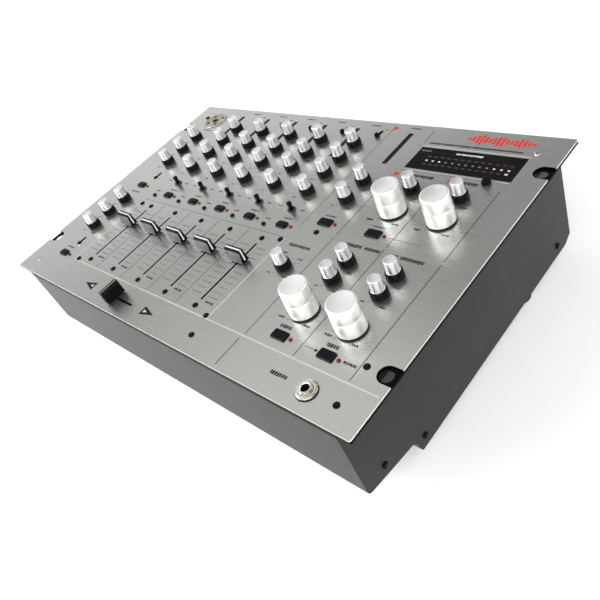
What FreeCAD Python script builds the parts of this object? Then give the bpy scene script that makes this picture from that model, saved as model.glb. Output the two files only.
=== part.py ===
"""A nineteen-inch, seven-unit DJ mixer with five channels, as a parametric document.

Every position on the control panel is stated from the panel's front left corner, x to the
right, y to the back and z up from the panel's top face, in millimetres.  The document's own
frame has its origin on the surface that the feet stand on, in the middle of the footprint,
and the expressions made by across(), along() and above() turn the first into the second.
"""
import FreeCAD, Part
import Sketcher
import os
import re

X_AXIS = FreeCAD.Vector(1, 0, 0)
Y_AXIS = FreeCAD.Vector(0, 1, 0)
Z_AXIS = FreeCAD.Vector(0, 0, 1)

doc = FreeCAD.newDocument("dj_mixer")
sheet = doc.addObject("Spreadsheet::Sheet", "Sizes")

DRIVING_SIZES = {
    # rack panel
    "panel_width": 482.6,
    "panel_depth": 310.4,
    "panel_thick": 2.0,
    "panel_top": 118.0,
    "panel_corner": 1.5,
    "rear_reach": 9.5,
    "ear_hole_spacing": 465.1,
    "ear_front_row": 51.1,
    "ear_back_row": 265.0,
    "ear_hole_radius": 5.2,
    "ear_notch_width": 15.0,
    "ear_notch_depth": 15.0,
    # sheet steel case under the panel
    "case_width": 450.0,
    "case_front": 1.5,
    "case_back": 308.9,
    "sheet_thick": 1.5,
    "front_height": 82.5,
    "slope_end": 53.0,
    "slope_height": 91.0,
    "step_foot": 60.0,
    "case_height": 107.5,
    "rear_bevel_start": 299.0,
    "rear_bevel_height": 101.8,
    "front_fold": 4.0,
    "fold_middle": 1.2,
    "step_slant": 3.0,
    "cover_gap": 0.2,
    "cover_end_gap": 3.3,
    "cover_lip": 14.0,
    # rubber feet
    "foot_radius": 14.0,
    "foot_taper": 2.0,
    "foot_rear_row": 235.0,
    "foot_rear_inset": 16.0,
    "foot_front_row": 88.0,
    "foot_front_inset": 40.0,
    # the layout of the controls
    "channel_one": 98.7,
    "channel_pitch": 45.15,
    "mic_column": 47.5,
    "aux_column": 328.0,
    "left_master": 381.0,
    "right_master": 428.0,
    "gain_row": 270.5,
    "high_row": 246.5,
    "mid_row": 222.5,
    "low_row": 195.0,
    "mic_one_row": 246.0,
    "mic_one_pitch": 24.25,
    "mic_two_row": 126.7,
    "mic_two_pitch": 22.85,
    "balance_row": 221.0,
    "master_row": 192.7,
    "cue_mix_row": 128.3,
    "cue_tone_row": 108.3,
    "monitor_row": 74.0,
    "curve_row": 106.2,
    # knobs, on six millimetre shafts
    "knob_lift": 0.8,
    "shaft_radius": 3.0,
    "shaft_play": 0.05,
    "shaft_bottom": 11.5,
    "small_skirt_radius": 7.4,
    "small_skirt_top_radius": 7.1,
    "small_skirt_height": 7.6,
    "small_cap_radius": 5.4,
    "small_height": 17.8,
    "small_bore_top": 14.0,
    "large_ring_radius": 12.3,
    "large_ring_height": 2.6,
    "large_cap_radius": 12.0,
    "large_cap_top_radius": 11.4,
    "large_seam_height": 15.5,
    "large_seam_half": 0.3,
    "large_seam_depth": 0.5,
    "large_seam_step": 0.1,
    "large_height": 28.0,
    "large_bore_top": 20.0,
    "shaft_end_gap": 0.5,
    "edge_bevel": 0.6,
    # sliding faders
    "slot_front": 48.6,
    "slot_back": 121.1,
    "slot_width": 2.2,
    "fader_rest": 98.0,
    "cross_row": 16.0,
    "cross_middle": 186.5,
    "cross_slot": 53.0,
    "stem_thick": 1.2,
    "stem_length": 4.0,
    "stem_bottom": 9.0,
    "cap_length": 19.5,
    "cap_lift": 1.4,
    "cap_height": 15.0,
    "cap_foot_thick": 8.0,
    "cap_foot_height": 2.5,
    "cap_top_thick": 5.4,
    "track_width": 10.0,
    "track_top": 3.2,
    "track_bottom": 14.0,
    "track_margin": 8.0,
    "track_floor": 2.0,
    # levers
    "toggle_row": 169.0,
    "toggle_shift": 2.0,
    "meter_lever_column": 438.7,
    "meter_lever_row": 243.0,
    "lever_bottom": 4.0,
    "lever_neck": 1.2,
    "lever_neck_top": 1.5,
    "lever_waist": 2.1,
    "lever_waist_height": 2.6,
    "lever_tip": 2.5,
    "lever_shoulder": 1.4,
    "lever_crown": 0.2,
    "lever_crown_inset": 0.7,
    "lever_height": 9.6,
    "boot_radius": 3.9,
    "boot_foot": 1.9,
    "boot_rim": 1.0,
    "boot_tip": 1.9,
    "boot_height": 7.4,
    "bush_radius": 4.1,
    "bush_height": 1.2,
    "bush_bore": 2.5,
    "bush_bore_depth": 7.0,
    "hole_play": 0.1,
    # slide switches
    "selector_row": 290.6,
    "selector_shift": 16.2,
    "mic_slider_column": 54.3,
    "mic_one_slider_row": 173.3,
    "mic_two_slider_row": 57.3,
    "slider_width": 3.0,
    "slider_length": 4.0,
    "slider_travel": 7.0,
    "slider_play": 0.3,
    "slider_bottom": 5.5,
    "slider_well": 7.0,
    "slider_slope": 0.5,
    "selector_height": 3.8,
    "mic_slider_height": 1.2,
    # push buttons
    "button_proud": 1.4,
    "button_depth": 3.0,
    "button_gap": 0.3,
    "cue_length": 12.5,
    "cue_width": 7.6,
    "cue_corner": 2.4,
    "key_length": 14.0,
    "key_width": 8.2,
    "key_corner": 0.8,
    "cue_shift": 7.2,
    "cue_row": 149.0,
    "talk_column": 49.0,
    "talk_row": 36.3,
    "mic_button_column": 46.0,
    "mic_button_row": 154.2,
    "key_row": 163.5,
    "monitor_key_row": 46.7,
    "monitor_key_shift": 2.5,
    "plunger": 3.0,
    "plunger_bottom": 8.0,
    "plunger_play": 0.3,
    "plunger_room": 2.5,
    # parts on the boards
    "board_top": 13.0,
    "board_thick": 1.6,
    "body_top": 5.0,
    "pot_width": 11.0,
    "bush_thread": 3.5,
    "bush_hole": 3.8,
    "bush_thread_drop": 0.4,
    "switch_width": 9.0,
    "mic_board_left": 26.0,
    "mic_board_right": 61.0,
    "mic_board_front": 24.0,
    "mic_board_back": 264.0,
    "channel_board_left": 64.0,
    "channel_board_right": 316.0,
    "channel_board_front": 136.0,
    "channel_board_back": 300.0,
    "output_board_left": 319.0,
    "output_board_right": 457.0,
    "output_board_front": 34.0,
    "output_board_back": 247.5,
    # mains transformer and power board, standing on the bottom cover
    "power_column": 250.0,
    "power_row": 250.0,
    "power_length": 70.0,
    "power_width": 56.0,
    "power_stand": 14.0,
    "capacitor_row": 262.0,
    "capacitor_length": 44.0,
    "capacitor_width": 20.0,
    "capacitor_height": 26.0,
    "heat_sink_row": 238.0,
    "heat_sink_length": 50.0,
    "heat_sink_thick": 4.0,
    "heat_sink_height": 30.0,
    "transformer_column": 150.0,
    "transformer_row": 235.0,
    "core_length": 58.0,
    "core_width": 48.0,
    "core_height": 22.0,
    "core_stand": 24.0,
    "coil_length": 40.0,
    "coil_width": 62.0,
    "coil_height": 14.0,
    "coil_gap": 0.2,
    "bracket_length": 78.0,
    "bracket_width": 30.0,
    "bracket_gap": 0.3,
    # level meter, and the lit strips of the channels and of the aux column
    "meter_left": 354.0,
    "meter_front": 248.5,
    "meter_length": 103.0,
    "meter_width": 30.8,
    "meter_sink": 0.4,
    "strip_column": 330.4,
    "strip_shift": 14.9,
    "strip_front": 249.3,
    "strip_length": 47.5,
    "strip_width": 5.2,
    "lens_gap": 0.2,
    "lens_thick": 1.5,
    "meter_body_height": 9.0,
    "meter_body_gap": 0.3,
    "lamp_radius": 1.6,
    "lamp_proud": 1.2,
    "lamp_shift": 11.2,
    "peak_radius": 2.2,
    "peak_proud": 2.0,
    "peak_shift": 13.4,
    "peak_row": 144.4,
    # sockets
    "phones_column": 432.0,
    "phones_row": 17.0,
    "jack_radius": 3.2,
    "jack_bush_radius": 5.4,
    "jack_bush_height": 4.2,
    "jack_nut_radius": 8.8,
    "jack_nut_height": 2.4,
    "jack_body_radius": 8.0,
    "jack_nut_slope": 1.6,
    "jack_depth": 24.0,
    "jack_floor": 2.0,
    "mic_socket_row": 283.0,
    "mic_socket_column": 43.0,
    "mic_socket_radius": 12.0,
    "mic_socket_flange": 15.0,
    "mic_socket_depth": 22.0,
    "mic_socket_rim": 2.0,
    "mic_socket_dish": 1.0,
    "rear_inset": 11.0,
    "wall_hole_depth": 6.0,
    "rear_play": 0.2,
    "phono_radius": 4.15,
    "phono_bore": 1.7,
    "phono_bore_floor": 10.0,
    "phono_base": 6.0,
    "phono_base_proud": 1.0,
    "phono_pitch": 15.0,
    "phono_upper": 34.0,
    "outlet_radius": 11.5,
    "outlet_cavity": 9.3,
    "outlet_flange": 2.5,
    "outlet_flange_thick": 2.0,
    "outlet_cavity_depth": 15.0,
    "outlet_floor": 4.0,
    "outlet_drop": 35.0,
    "inlet_column": 52.0,
    "inlet_rise": 27.0,
    "inlet_width": 27.0,
    "inlet_height": 20.0,
    "inlet_wall": 2.2,
    "inlet_depth": 16.0,
    "inlet_floor": 4.0,
    "inlet_proud": 2.0,
    "inlet_cavity_proud": 3.0,
    "bezel_margin": 2.5,
    "rocker_column": 92.0,
    "rocker_width": 11.0,
    "rocker_height": 17.0,
    "rocker_frame": 2.5,
    "rocker_gap": 0.4,
    "rocker_tilt": 7.0,
    "rocker_root": 6.0,
    "rocker_root_half": 5.0,
    "rocker_edge": 1.6,
    "rocker_crest": 3.4,
    "rocker_dip": 2.2,
    "rocker_frame_depth": 18.0,
    "rocker_frame_proud": 2.0,
    "rocker_well_depth": 14.0,
    # screws
    "screw_head": 2.7,
    "screw_head_height": 1.1,
    "screw_head_slope": 0.4,
    "side_screw_head": 3.0,
    "side_screw_head_height": 1.5,
    "screw_shank": 1.5,
    "screw_hole": 1.7,
    "screw_length": 3.0,
    "side_screw_length": 5.0,
}

for row, (alias, value) in enumerate(DRIVING_SIZES.items(), start=1):
    sheet.set(f"A{row}", alias.replace("_", " "))
    sheet.set(f"B{row}", str(value))
    sheet.setAlias(f"B{row}", alias)
doc.recompute()

CHANNELS = ["one", "two", "three", "four", "five"]
SIDES = {"left": -1, "right": 1}


def named(expression):
    """Puts the sheet's name before every alias in an expression."""
    return re.sub(r"[a-z_]{3,}", lambda word: f"Sizes.{word.group()}", expression)


def number(expression):
    """The number that an expression in the sheet's aliases stands for."""
    plain = re.sub(r"[a-z_]{3,}", lambda word: repr(DRIVING_SIZES[word.group()]), expression)
    return FreeCAD.Units.Quantity(plain).Value


def across(x):
    """Document x of a place measured from the panel's left edge."""
    return f"{x} - panel_width / 2"


def along(y):
    """Document y of a place measured from the panel's front edge."""
    return f"{y} - ( case_back + rear_reach ) / 2"


def above(z):
    """Document z of a height measured from the panel's top face."""
    return f"panel_top + {z}"


def bind(thing, **sizes):
    """Binds properties to expressions in the sheet's aliases."""
    for name, expression in sizes.items():
        thing.setExpression(name, named(str(expression)))
    return thing


def put(thing, x="0", y="0", z="0"):
    """Binds the three coordinates of a placement."""
    for letter, expression in zip("xyz", (x, y, z)):
        thing.setExpression(f"Placement.Base.{letter}", named(expression))
    return thing


def turn(thing, axis, angle):
    """Turns a thing in place, before or after its position is bound."""
    thing.Placement.Rotation = FreeCAD.Rotation(axis, angle)
    return thing


def on_panel(thing, x, y, z="0"):
    """Puts a thing at a place on the panel."""
    return put(thing, across(x), along(y), above(z))


def block(name, length, width, height, x, y, z):
    """A box centred on x and y in panel places, from height z upwards."""
    box = doc.addObject("Part::Box", name)
    bind(box, Length=length, Width=width, Height=height)
    return on_panel(box, f"{x} - ( {length} ) / 2", f"{y} - ( {width} ) / 2", z)


def post(name, length, width, height, z):
    """A box centred on the z axis, from height z upwards."""
    box = doc.addObject("Part::Box", name)
    bind(box, Length=length, Width=width, Height=height)
    return put(box, f"-({length}) / 2", f"-({width}) / 2", z)


def rod(name, radius, height):
    """A cylinder standing on the origin."""
    return bind(doc.addObject("Part::Cylinder", name), Radius=radius, Height=height)


def group(name, members):
    """Separate solids that share one node."""
    made = doc.addObject("Part::Compound", name)
    made.Links = members
    return made


def copy_of(master, name, x, y, z="0"):
    """A copy of a master piece at a place on the panel."""
    return on_panel(group(name, [master]), x, y, z)


def less(name, base, tools):
    """A base with its tools cut out of it."""
    made = doc.addObject("Part::Cut", name)
    made.Base = base
    made.Tool = group(f"{name}_tools", tools)
    return made


def joined(name, members):
    """Members that are one solid."""
    made = doc.addObject("Part::MultiFuse", name)
    made.Shapes = members
    return made


def outline(body, name, role, corners):
    """A closed sketch of straight sides on one of the body's own origin planes.

    Each corner is a pair of expressions, and "0" holds it on that axis.
    """
    sketch = body.newObject("Sketcher::SketchObject", name)
    plane = next(p for p in body.Origin.OriginFeatures if p.Role == role)
    sketch.AttachmentSupport = (plane, [""])
    sketch.MapMode = "FlatFace"
    points = [FreeCAD.Vector(number(u), number(v), 0) for u, v in corners]
    for start, end in zip(points, points[1:] + points[:1]):
        sketch.addGeometry(Part.LineSegment(start, end), False)
    count = len(corners)
    for i in range(count):
        sketch.addConstraint(Sketcher.Constraint("Coincident", i, 2, (i + 1) % count, 1))
    for i, (corner, point) in enumerate(zip(corners, points)):
        for kind, axis, expression, value in zip(
            ("DistanceX", "DistanceY"), (-2, -1), corner, point
        ):
            if expression == "0":
                sketch.addConstraint(Sketcher.Constraint("PointOnObject", i, 1, axis))
                continue
            fixed = sketch.addConstraint(Sketcher.Constraint(kind, -1, 1, i, 1, value))
            sketch.setExpression(f"Constraints[{fixed}]", named(expression))
    return sketch


def turned(name, corners):
    """A solid of revolution about z, from the radius and height of each corner."""
    body = doc.addObject("PartDesign::Body", name)
    sketch = outline(body, f"{name}_profile", "XZ_Plane", corners)
    solid = body.newObject("PartDesign::Revolution", f"{name}_turn")
    solid.Profile = sketch
    solid.ReferenceAxis = (sketch, ["V_Axis"])
    solid.Angle = 360
    return body


def padded(name, role, corners, length):
    """A flat outline padded to a length along the normal of its plane."""
    body = doc.addObject("PartDesign::Body", name)
    sketch = outline(body, f"{name}_profile", role, corners)
    solid = body.newObject("PartDesign::Pad", f"{name}_pad")
    solid.Profile = sketch
    bind(solid, Length=length)
    return body


def is_upright(edge):
    """Whether a straight edge runs along z."""
    start, end = (vertex.Point for vertex in edge.Vertexes)
    return start.x == end.x and start.y == end.y


def rounded_block(name, length, width, height, radius):
    """An upright block with rounded corners, centred on the origin and standing on it."""
    half_x = f"({length}) / 2"
    half_y = f"({width}) / 2"
    corners = [
        (f"-{half_x}", f"-{half_y}"),
        (half_x, f"-{half_y}"),
        (half_x, half_y),
        (f"-{half_x}", half_y),
    ]
    body = padded(name, "XY_Plane", corners, height)
    doc.recompute()
    pad = body.Tip
    upright = [
        f"Edge{i}"
        for i, edge in enumerate(pad.Shape.Edges, start=1)
        if is_upright(edge)
    ]
    round_off = body.newObject("PartDesign::Fillet", f"{name}_round")
    round_off.Base = (pad, upright)
    bind(round_off, Radius=radius)
    return body


# ---------------------------------------------------------------- places of the controls

def channel(i):
    """Panel x of a channel's column."""
    return f"channel_one + {i} * channel_pitch"


SMALL_KNOBS = {
    f"channel_{name}_{job}_knob": (channel(i), row)
    for i, name in enumerate(CHANNELS)
    for job, row in (
        ("gain", "gain_row"),
        ("high", "high_row"),
        ("mid", "mid_row"),
        ("low", "low_row"),
    )
}
for i, job in enumerate(["level", "high", "low"]):
    SMALL_KNOBS[f"mic_one_{job}_knob"] = ("mic_column", f"mic_one_row - {i} * mic_one_pitch")
    SMALL_KNOBS[f"mic_two_{job}_knob"] = ("mic_column", f"mic_two_row - {i} * mic_two_pitch")
SMALL_KNOBS.update(
    {
        "aux_send_knob": ("aux_column", "balance_row"),
        "aux_return_knob": ("aux_column", "low_row"),
        "crossfader_curve_knob": ("aux_column", "curve_row"),
        "master_balance_knob": ("left_master", "balance_row"),
        "booth_balance_knob": ("right_master", "balance_row"),
        "booth_bass_knob": ("left_master", "cue_mix_row"),
        "booth_treble_knob": ("left_master", "cue_tone_row"),
        "cue_mix_knob": ("right_master", "cue_mix_row"),
        "cue_tone_knob": ("right_master", "cue_tone_row"),
    }
)
LARGE_KNOBS = {
    "master_level_knob": ("left_master", "master_row"),
    "second_level_knob": ("right_master", "master_row"),
    "booth_level_knob": ("left_master", "monitor_row"),
    "phones_level_knob": ("right_master", "monitor_row"),
}
FADERS = {f"channel_{name}_fader": channel(i) for i, name in enumerate(CHANNELS)}
ASSIGN_LEVERS = [(f"{channel(i)} + toggle_shift", "toggle_row") for i in range(5)]
METER_LEVER = ("meter_lever_column", "meter_lever_row")
SELECTORS = [(f"{channel(i)} + selector_shift", "selector_row") for i in range(5)]
MIC_SLIDERS = [
    ("mic_slider_column", "mic_one_slider_row"),
    ("mic_slider_column", "mic_two_slider_row"),
]
CUE_BUTTONS = [(f"{channel(i)} + cue_shift", "cue_row") for i in range(5)]
CUE_BUTTONS += [("talk_column", "talk_row"), ("mic_button_column", "mic_button_row")]
KEY_BUTTONS = [
    ("aux_column", "key_row"),
    ("left_master", "key_row"),
    ("left_master - monitor_key_shift", "monitor_key_row"),
    ("right_master - monitor_key_shift", "monitor_key_row"),
]
BUTTON_LAMPS = [(f"{x} + lamp_shift", y) for x, y in CUE_BUTTONS + KEY_BUTTONS]
PEAK_LAMPS = [(f"{channel(i)} - peak_shift", "peak_row") for i in range(5)]
FADER_SCREWS = [(channel(i), y) for i in range(5) for y in ("41.5", "128.2")]
PANEL_SCREWS = FADER_SCREWS + [
    ("80.7", "128.7"),
    ("80.7", "36.7"),
    ("299.5", "132.5"),
    ("299.5", "36.7"),
    ("aux_column", "150.5"),
    ("303.3", "16.3"),
    ("458.3", "50.8"),
    ("458.3", "17.2"),
    ("460", "287"),
    ("22.6", "17.2"),
    ("22.6", "287"),
]
SIDE_SCREWS = [("24", "-75"), ("67", "-97"), ("285", "-97")]

# ---------------------------------------------------------------- master pieces

small_skirt = turned(
    "small_skirt",
    [
        ("shaft_radius + shaft_play", "knob_lift"),
        ("small_skirt_radius", "knob_lift"),
        ("small_skirt_top_radius", "knob_lift + small_skirt_height"),
        ("shaft_radius + shaft_play", "knob_lift + small_skirt_height"),
    ],
)
small_cap = turned(
    "small_cap",
    [
        ("shaft_radius + shaft_play", "knob_lift + small_skirt_height"),
        ("small_cap_radius", "knob_lift + small_skirt_height"),
        ("small_cap_radius", "small_height - edge_bevel"),
        ("small_cap_radius - edge_bevel", "small_height"),
        ("0", "small_height"),
        ("0", "small_bore_top"),
        ("shaft_radius + shaft_play", "small_bore_top"),
    ],
)
large_ring = turned(
    "large_ring",
    [
        ("shaft_radius + shaft_play", "knob_lift"),
        ("large_ring_radius", "knob_lift"),
        ("large_ring_radius", "large_ring_height"),
        ("shaft_radius + shaft_play", "large_ring_height"),
    ],
)
large_cap = turned(
    "large_cap",
    [
        ("shaft_radius + shaft_play", "large_ring_height"),
        ("large_cap_radius", "large_ring_height"),
        ("large_cap_radius", "large_seam_height - large_seam_half"),
        ("large_cap_radius - large_seam_depth", "large_seam_height"),
        ("large_cap_radius - large_seam_step", "large_seam_height + large_seam_half"),
        ("large_cap_top_radius", "large_height - edge_bevel"),
        ("large_cap_top_radius - edge_bevel", "large_height"),
        ("0", "large_height"),
        ("0", "large_bore_top"),
        ("shaft_radius + shaft_play", "large_bore_top"),
    ],
)


def shaft(name, bore_top):
    """A control's shaft, from inside its bush to just under the end of the knob's bore."""
    rise = f"shaft_bottom + {bore_top} - shaft_end_gap"
    return put(rod(name, "shaft_radius", rise), z="-shaft_bottom")


small_shaft = shaft("small_shaft", "small_bore_top")
large_shaft = shaft("large_shaft", "large_bore_top")

fader_cap = padded(
    "fader_cap",
    "YZ_Plane",
    [
        ("-cap_foot_thick / 2", "cap_lift"),
        ("cap_foot_thick / 2", "cap_lift"),
        ("cap_foot_thick / 2", "cap_lift + cap_foot_height"),
        ("cap_top_thick / 2", "cap_height"),
        ("-cap_top_thick / 2", "cap_height"),
        ("-cap_foot_thick / 2", "cap_lift + cap_foot_height"),
    ],
    "cap_length",
)
put(fader_cap, x="-cap_length / 2")
fader_stem = post(
    "fader_stem", "stem_thick", "stem_length", "stem_bottom + cap_lift", "-stem_bottom"
)

lever = turned(
    "lever",
    [
        ("0", "-lever_bottom"),
        ("lever_neck", "-lever_bottom"),
        ("lever_neck", "lever_neck_top"),
        ("lever_waist", "lever_waist_height"),
        ("lever_tip", "lever_height - lever_shoulder"),
        ("lever_tip - lever_crown_inset", "lever_height - lever_crown"),
        ("0", "lever_height"),
    ],
)
booted_lever = turned(
    "booted_lever",
    [
        ("0", "-lever_bottom"),
        ("lever_neck", "-lever_bottom"),
        ("lever_neck", "boot_foot"),
        ("boot_radius", "boot_foot"),
        ("boot_radius", "boot_foot + boot_rim"),
        ("boot_tip", "boot_height - lever_crown"),
        ("boot_tip - lever_crown_inset", "boot_height"),
        ("0", "boot_height"),
    ],
)


def slider(name, height):
    """A slide switch's button, with its long side along y."""
    half = "slider_length / 2"
    body = padded(
        name,
        "YZ_Plane",
        [
            (f"-{half}", "-slider_bottom"),
            (half, "-slider_bottom"),
            (half, f"{height} / 2"),
            (f"{half} - slider_slope", height),
            (f"-{half} + slider_slope", height),
            (f"-{half}", f"{height} / 2"),
        ],
        "slider_width",
    )
    return put(body, x="-slider_width / 2")


selector_slider = slider("selector_slider", "selector_height")
mic_slider = slider("mic_slider", "mic_slider_height")

cue_cap = rounded_block(
    "cue_cap", "cue_length", "cue_width", "button_depth + button_proud", "cue_corner"
)
key_cap = rounded_block(
    "key_cap", "key_length", "key_width", "button_depth + button_proud", "key_corner"
)
plunger = post(
    "plunger_post", "plunger", "plunger", "plunger_bottom - button_depth", "-plunger_bottom"
)
for cap in (cue_cap, key_cap):
    put(cap, z="-button_depth")
cue_button = joined("cue_button", [cue_cap, plunger])
key_button = joined("key_button", [key_cap, plunger])

# ---------------------------------------------------------------- moving nodes

NODES = []


def node(thing, label):
    """Names a sub-part and lists it for writing."""
    thing.Label = label
    NODES.append(thing)
    return thing


for label, (x, y) in SMALL_KNOBS.items():
    knob = group(label, [small_skirt, small_cap, small_shaft])
    node(on_panel(knob, x, y), label)
for label, (x, y) in LARGE_KNOBS.items():
    knob = group(label, [large_ring, large_cap, large_shaft])
    node(on_panel(knob, x, y), label)
for label, x in FADERS.items():
    node(on_panel(group(label, [fader_cap, fader_stem]), x, "fader_rest"), label)
crossfader = turn(group("crossfader", [fader_cap, fader_stem]), Z_AXIS, 90)
node(on_panel(crossfader, "cross_middle", "cross_row"), "crossfader")


def alike(label, master, places):
    """A node of copies of one master that move together."""
    members = [copy_of(master, f"{label}_{i}", x, y) for i, (x, y) in enumerate(places)]
    node(group(label, members), label)


def at_front(places):
    """Places of slide switches' buttons, at the front ends of their slots."""
    return [(x, f"{y} - slider_travel / 2") for x, y in places]


alike("assign_toggles", lever, ASSIGN_LEVERS)
alike("meter_toggle", booted_lever, [METER_LEVER])
alike("input_selector_sliders", selector_slider, at_front(SELECTORS))
alike("mic_sliders", mic_slider, at_front(MIC_SLIDERS))

buttons = [copy_of(cue_button, f"cue_button_{i}", x, y) for i, (x, y) in enumerate(CUE_BUTTONS)]
buttons += [copy_of(key_button, f"key_button_{i}", x, y) for i, (x, y) in enumerate(KEY_BUTTONS)]
node(group("push_buttons", buttons), "push_buttons")

# ---------------------------------------------------------------- faceplate

all_knobs = list(SMALL_KNOBS.values()) + list(LARGE_KNOBS.values())
toggle_places = ASSIGN_LEVERS + [METER_LEVER]
slider_places = SELECTORS + MIC_SLIDERS
SLIDER_SLOT = (
    "slider_width + 2 * slider_play",
    "slider_length + slider_travel + 2 * slider_play",
)


# Every tool that goes right through a sheet starts and ends this far outside it.
OVERCUT = "1"
PLATE_CUT = f"panel_thick + 2 * {OVERCUT}"
PLATE_CUT_START = f"-panel_thick - {OVERCUT}"
FLANGE_CUT = f"sheet_thick + 2 * {OVERCUT}"
FLANGE_CUT_START = f"-panel_thick - sheet_thick - {OVERCUT}"


def drill(name, radius, x, y):
    """A round hole's tool, right through the faceplate."""
    return on_panel(rod(name, radius, PLATE_CUT), x, y, PLATE_CUT_START)


def punch(name, length, width, x, y):
    """A rectangular hole's tool, right through the faceplate."""
    return block(name, length, width, PLATE_CUT, x, y, PLATE_CUT_START)


faceplate_holes = [
    drill(f"shaft_hole_{i}", "bush_hole", x, y) for i, (x, y) in enumerate(all_knobs)
]
faceplate_holes += [
    drill(f"bush_hole_{i}", "bush_radius + hole_play", x, y) for i, (x, y) in enumerate(toggle_places)
]
faceplate_holes += [
    drill(f"screw_hole_{i}", "screw_hole", x, y) for i, (x, y) in enumerate(PANEL_SCREWS)
]
faceplate_holes += [
    drill(f"lamp_hole_{i}", "lamp_radius + hole_play", x, y)
    for i, (x, y) in enumerate(BUTTON_LAMPS)
]
faceplate_holes += [
    drill(f"peak_hole_{i}", "peak_radius + hole_play", x, y)
    for i, (x, y) in enumerate(PEAK_LAMPS)
]
faceplate_holes += [
    punch(f"slider_slot_{i}", *SLIDER_SLOT, x, y) for i, (x, y) in enumerate(slider_places)
]
faceplate_holes += [
    punch(f"slot_{i}", "slot_width", "slot_back - slot_front", x, "(slot_front + slot_back) / 2")
    for i, x in enumerate(FADERS.values())
]
faceplate_holes.append(
    punch("cross_slot_cut", "cross_slot", "slot_width", "cross_middle", "cross_row")
)
for cap, length, width, places in (
    (cue_cap, "cue_length", "cue_width", CUE_BUTTONS),
    (key_cap, "key_length", "key_width", KEY_BUTTONS),
):
    tool = rounded_block(
        f"{cap.Name}_hole",
        f"{length} + 2 * button_gap",
        f"{width} + 2 * button_gap",
        PLATE_CUT,
        "cue_corner" if cap is cue_cap else "key_corner",
    )
    put(tool, z=PLATE_CUT_START)
    faceplate_holes += [
        copy_of(tool, f"{cap.Name}_hole_{i}", x, y) for i, (x, y) in enumerate(places)
    ]
METER_CENTRE = ("meter_left + meter_length / 2", "meter_front + meter_width / 2")
STRIP_COLUMNS = [f"{channel(i)} - strip_shift" for i in range(5)] + ["strip_column"]
STRIP_ROW = "strip_front + strip_length / 2"
faceplate_holes.append(punch("meter_window", "meter_length", "meter_width", *METER_CENTRE))
faceplate_holes += [
    punch(f"strip_window_{i}", "strip_width", "strip_length", x, STRIP_ROW)
    for i, x in enumerate(STRIP_COLUMNS)
]
faceplate_holes.append(
    drill("phones_hole", "jack_bush_radius + hole_play", "phones_column", "phones_row")
)
faceplate_holes.append(
    drill("mic_hole", "mic_socket_radius + hole_play", "mic_socket_column", "mic_socket_row")
)
EAR_ROWS = {"front": "ear_front_row", "back": "ear_back_row"}
for end, row in EAR_ROWS.items():
    for side, sign in SIDES.items():
        reach = "2 * ear_notch_depth - ear_notch_width"
        mouth = f"panel_width / 2 + {sign} * panel_width / 2"
        centre = f"{mouth} - {sign} * ({reach}) / 2"
        faceplate_holes.append(
            drill(f"notch_{end}_{side}_round", "ear_notch_width / 2", centre, row)
        )
        faceplate_holes.append(
            punch(f"notch_{end}_{side}_mouth", reach, "ear_notch_width", mouth, row)
        )

blank = rounded_block(
    "faceplate_blank", "panel_width", "panel_depth", "panel_thick", "panel_corner"
)
on_panel(blank, "panel_width / 2", "panel_depth / 2", "-panel_thick")
node(less("faceplate", blank, faceplate_holes), "faceplate")

# ---------------------------------------------------------------- case and bottom cover


def case_profile(inset):
    """The case's side view, as panel y and z, drawn in by an inset on every side but the top."""
    return [
        (f"case_front + {inset}", "-panel_thick - sheet_thick"),
        (f"case_front + {inset}", f"-front_height + front_fold + {inset} / 2"),
        (f"case_front + fold_middle + {inset}", f"-front_height + fold_middle + {inset}"),
        (f"case_front + front_fold + {inset} / 2", f"-front_height + {inset}"),
        (f"slope_end + {inset} / 4", f"-slope_height + {inset}"),
        (f"slope_end + step_slant + {inset}", f"-slope_height - step_slant + {inset} / 2"),
        (f"step_foot - step_slant / 2 + {inset}", f"-case_height + step_slant + {inset} / 2"),
        (f"step_foot + {inset}", f"-case_height + {inset}"),
        (f"rear_bevel_start - {inset} / 4", f"-case_height + {inset}"),
        (f"case_back - {inset}", f"-rear_bevel_height + {inset} / 2"),
        (f"case_back - {inset}", "-panel_thick - sheet_thick"),
    ]


def case_solid(name, inset, width):
    """The case's side view padded to a width, centred on the panel's middle."""
    solid = padded(name, "YZ_Plane", case_profile(inset), width)
    return put(solid, f"-({width}) / 2", along("0"), above("0"))


def side_tool(name, radius, length, sign, y, z):
    """A rod through a side wall, from outside inwards."""
    tool = turn(rod(name, radius, length), Y_AXIS, -90 * sign)
    return put(tool, f"{sign} * (case_width / 2 + {OVERCUT})", along(y), above(z))


def rear_tool(name, radius, length, x, z):
    """A rod through the rear wall, from outside forwards."""
    tool = turn(rod(name, radius, length), X_AXIS, 90)
    return on_panel(tool, x, "case_back + wall_hole_depth / 2", z)


PHONO_PLACES = [
    (f"{channel(i)} + {side} * phono_pitch / 2", f"-phono_upper - {low} * phono_pitch")
    for i in range(5)
    for side in (-1, 1)
    for low in (0, 1)
]
PHONO_PLACES += [
    (f"{x} + {side} * phono_pitch / 2", "-phono_upper")
    for x in ("left_master", "right_master")
    for side in (-1, 1)
]
OUTLETS = ["left_master", "right_master"]
OUTLET_Z = "-phono_upper - outlet_drop"
INLET_Z = "-case_height + inlet_rise"

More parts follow.
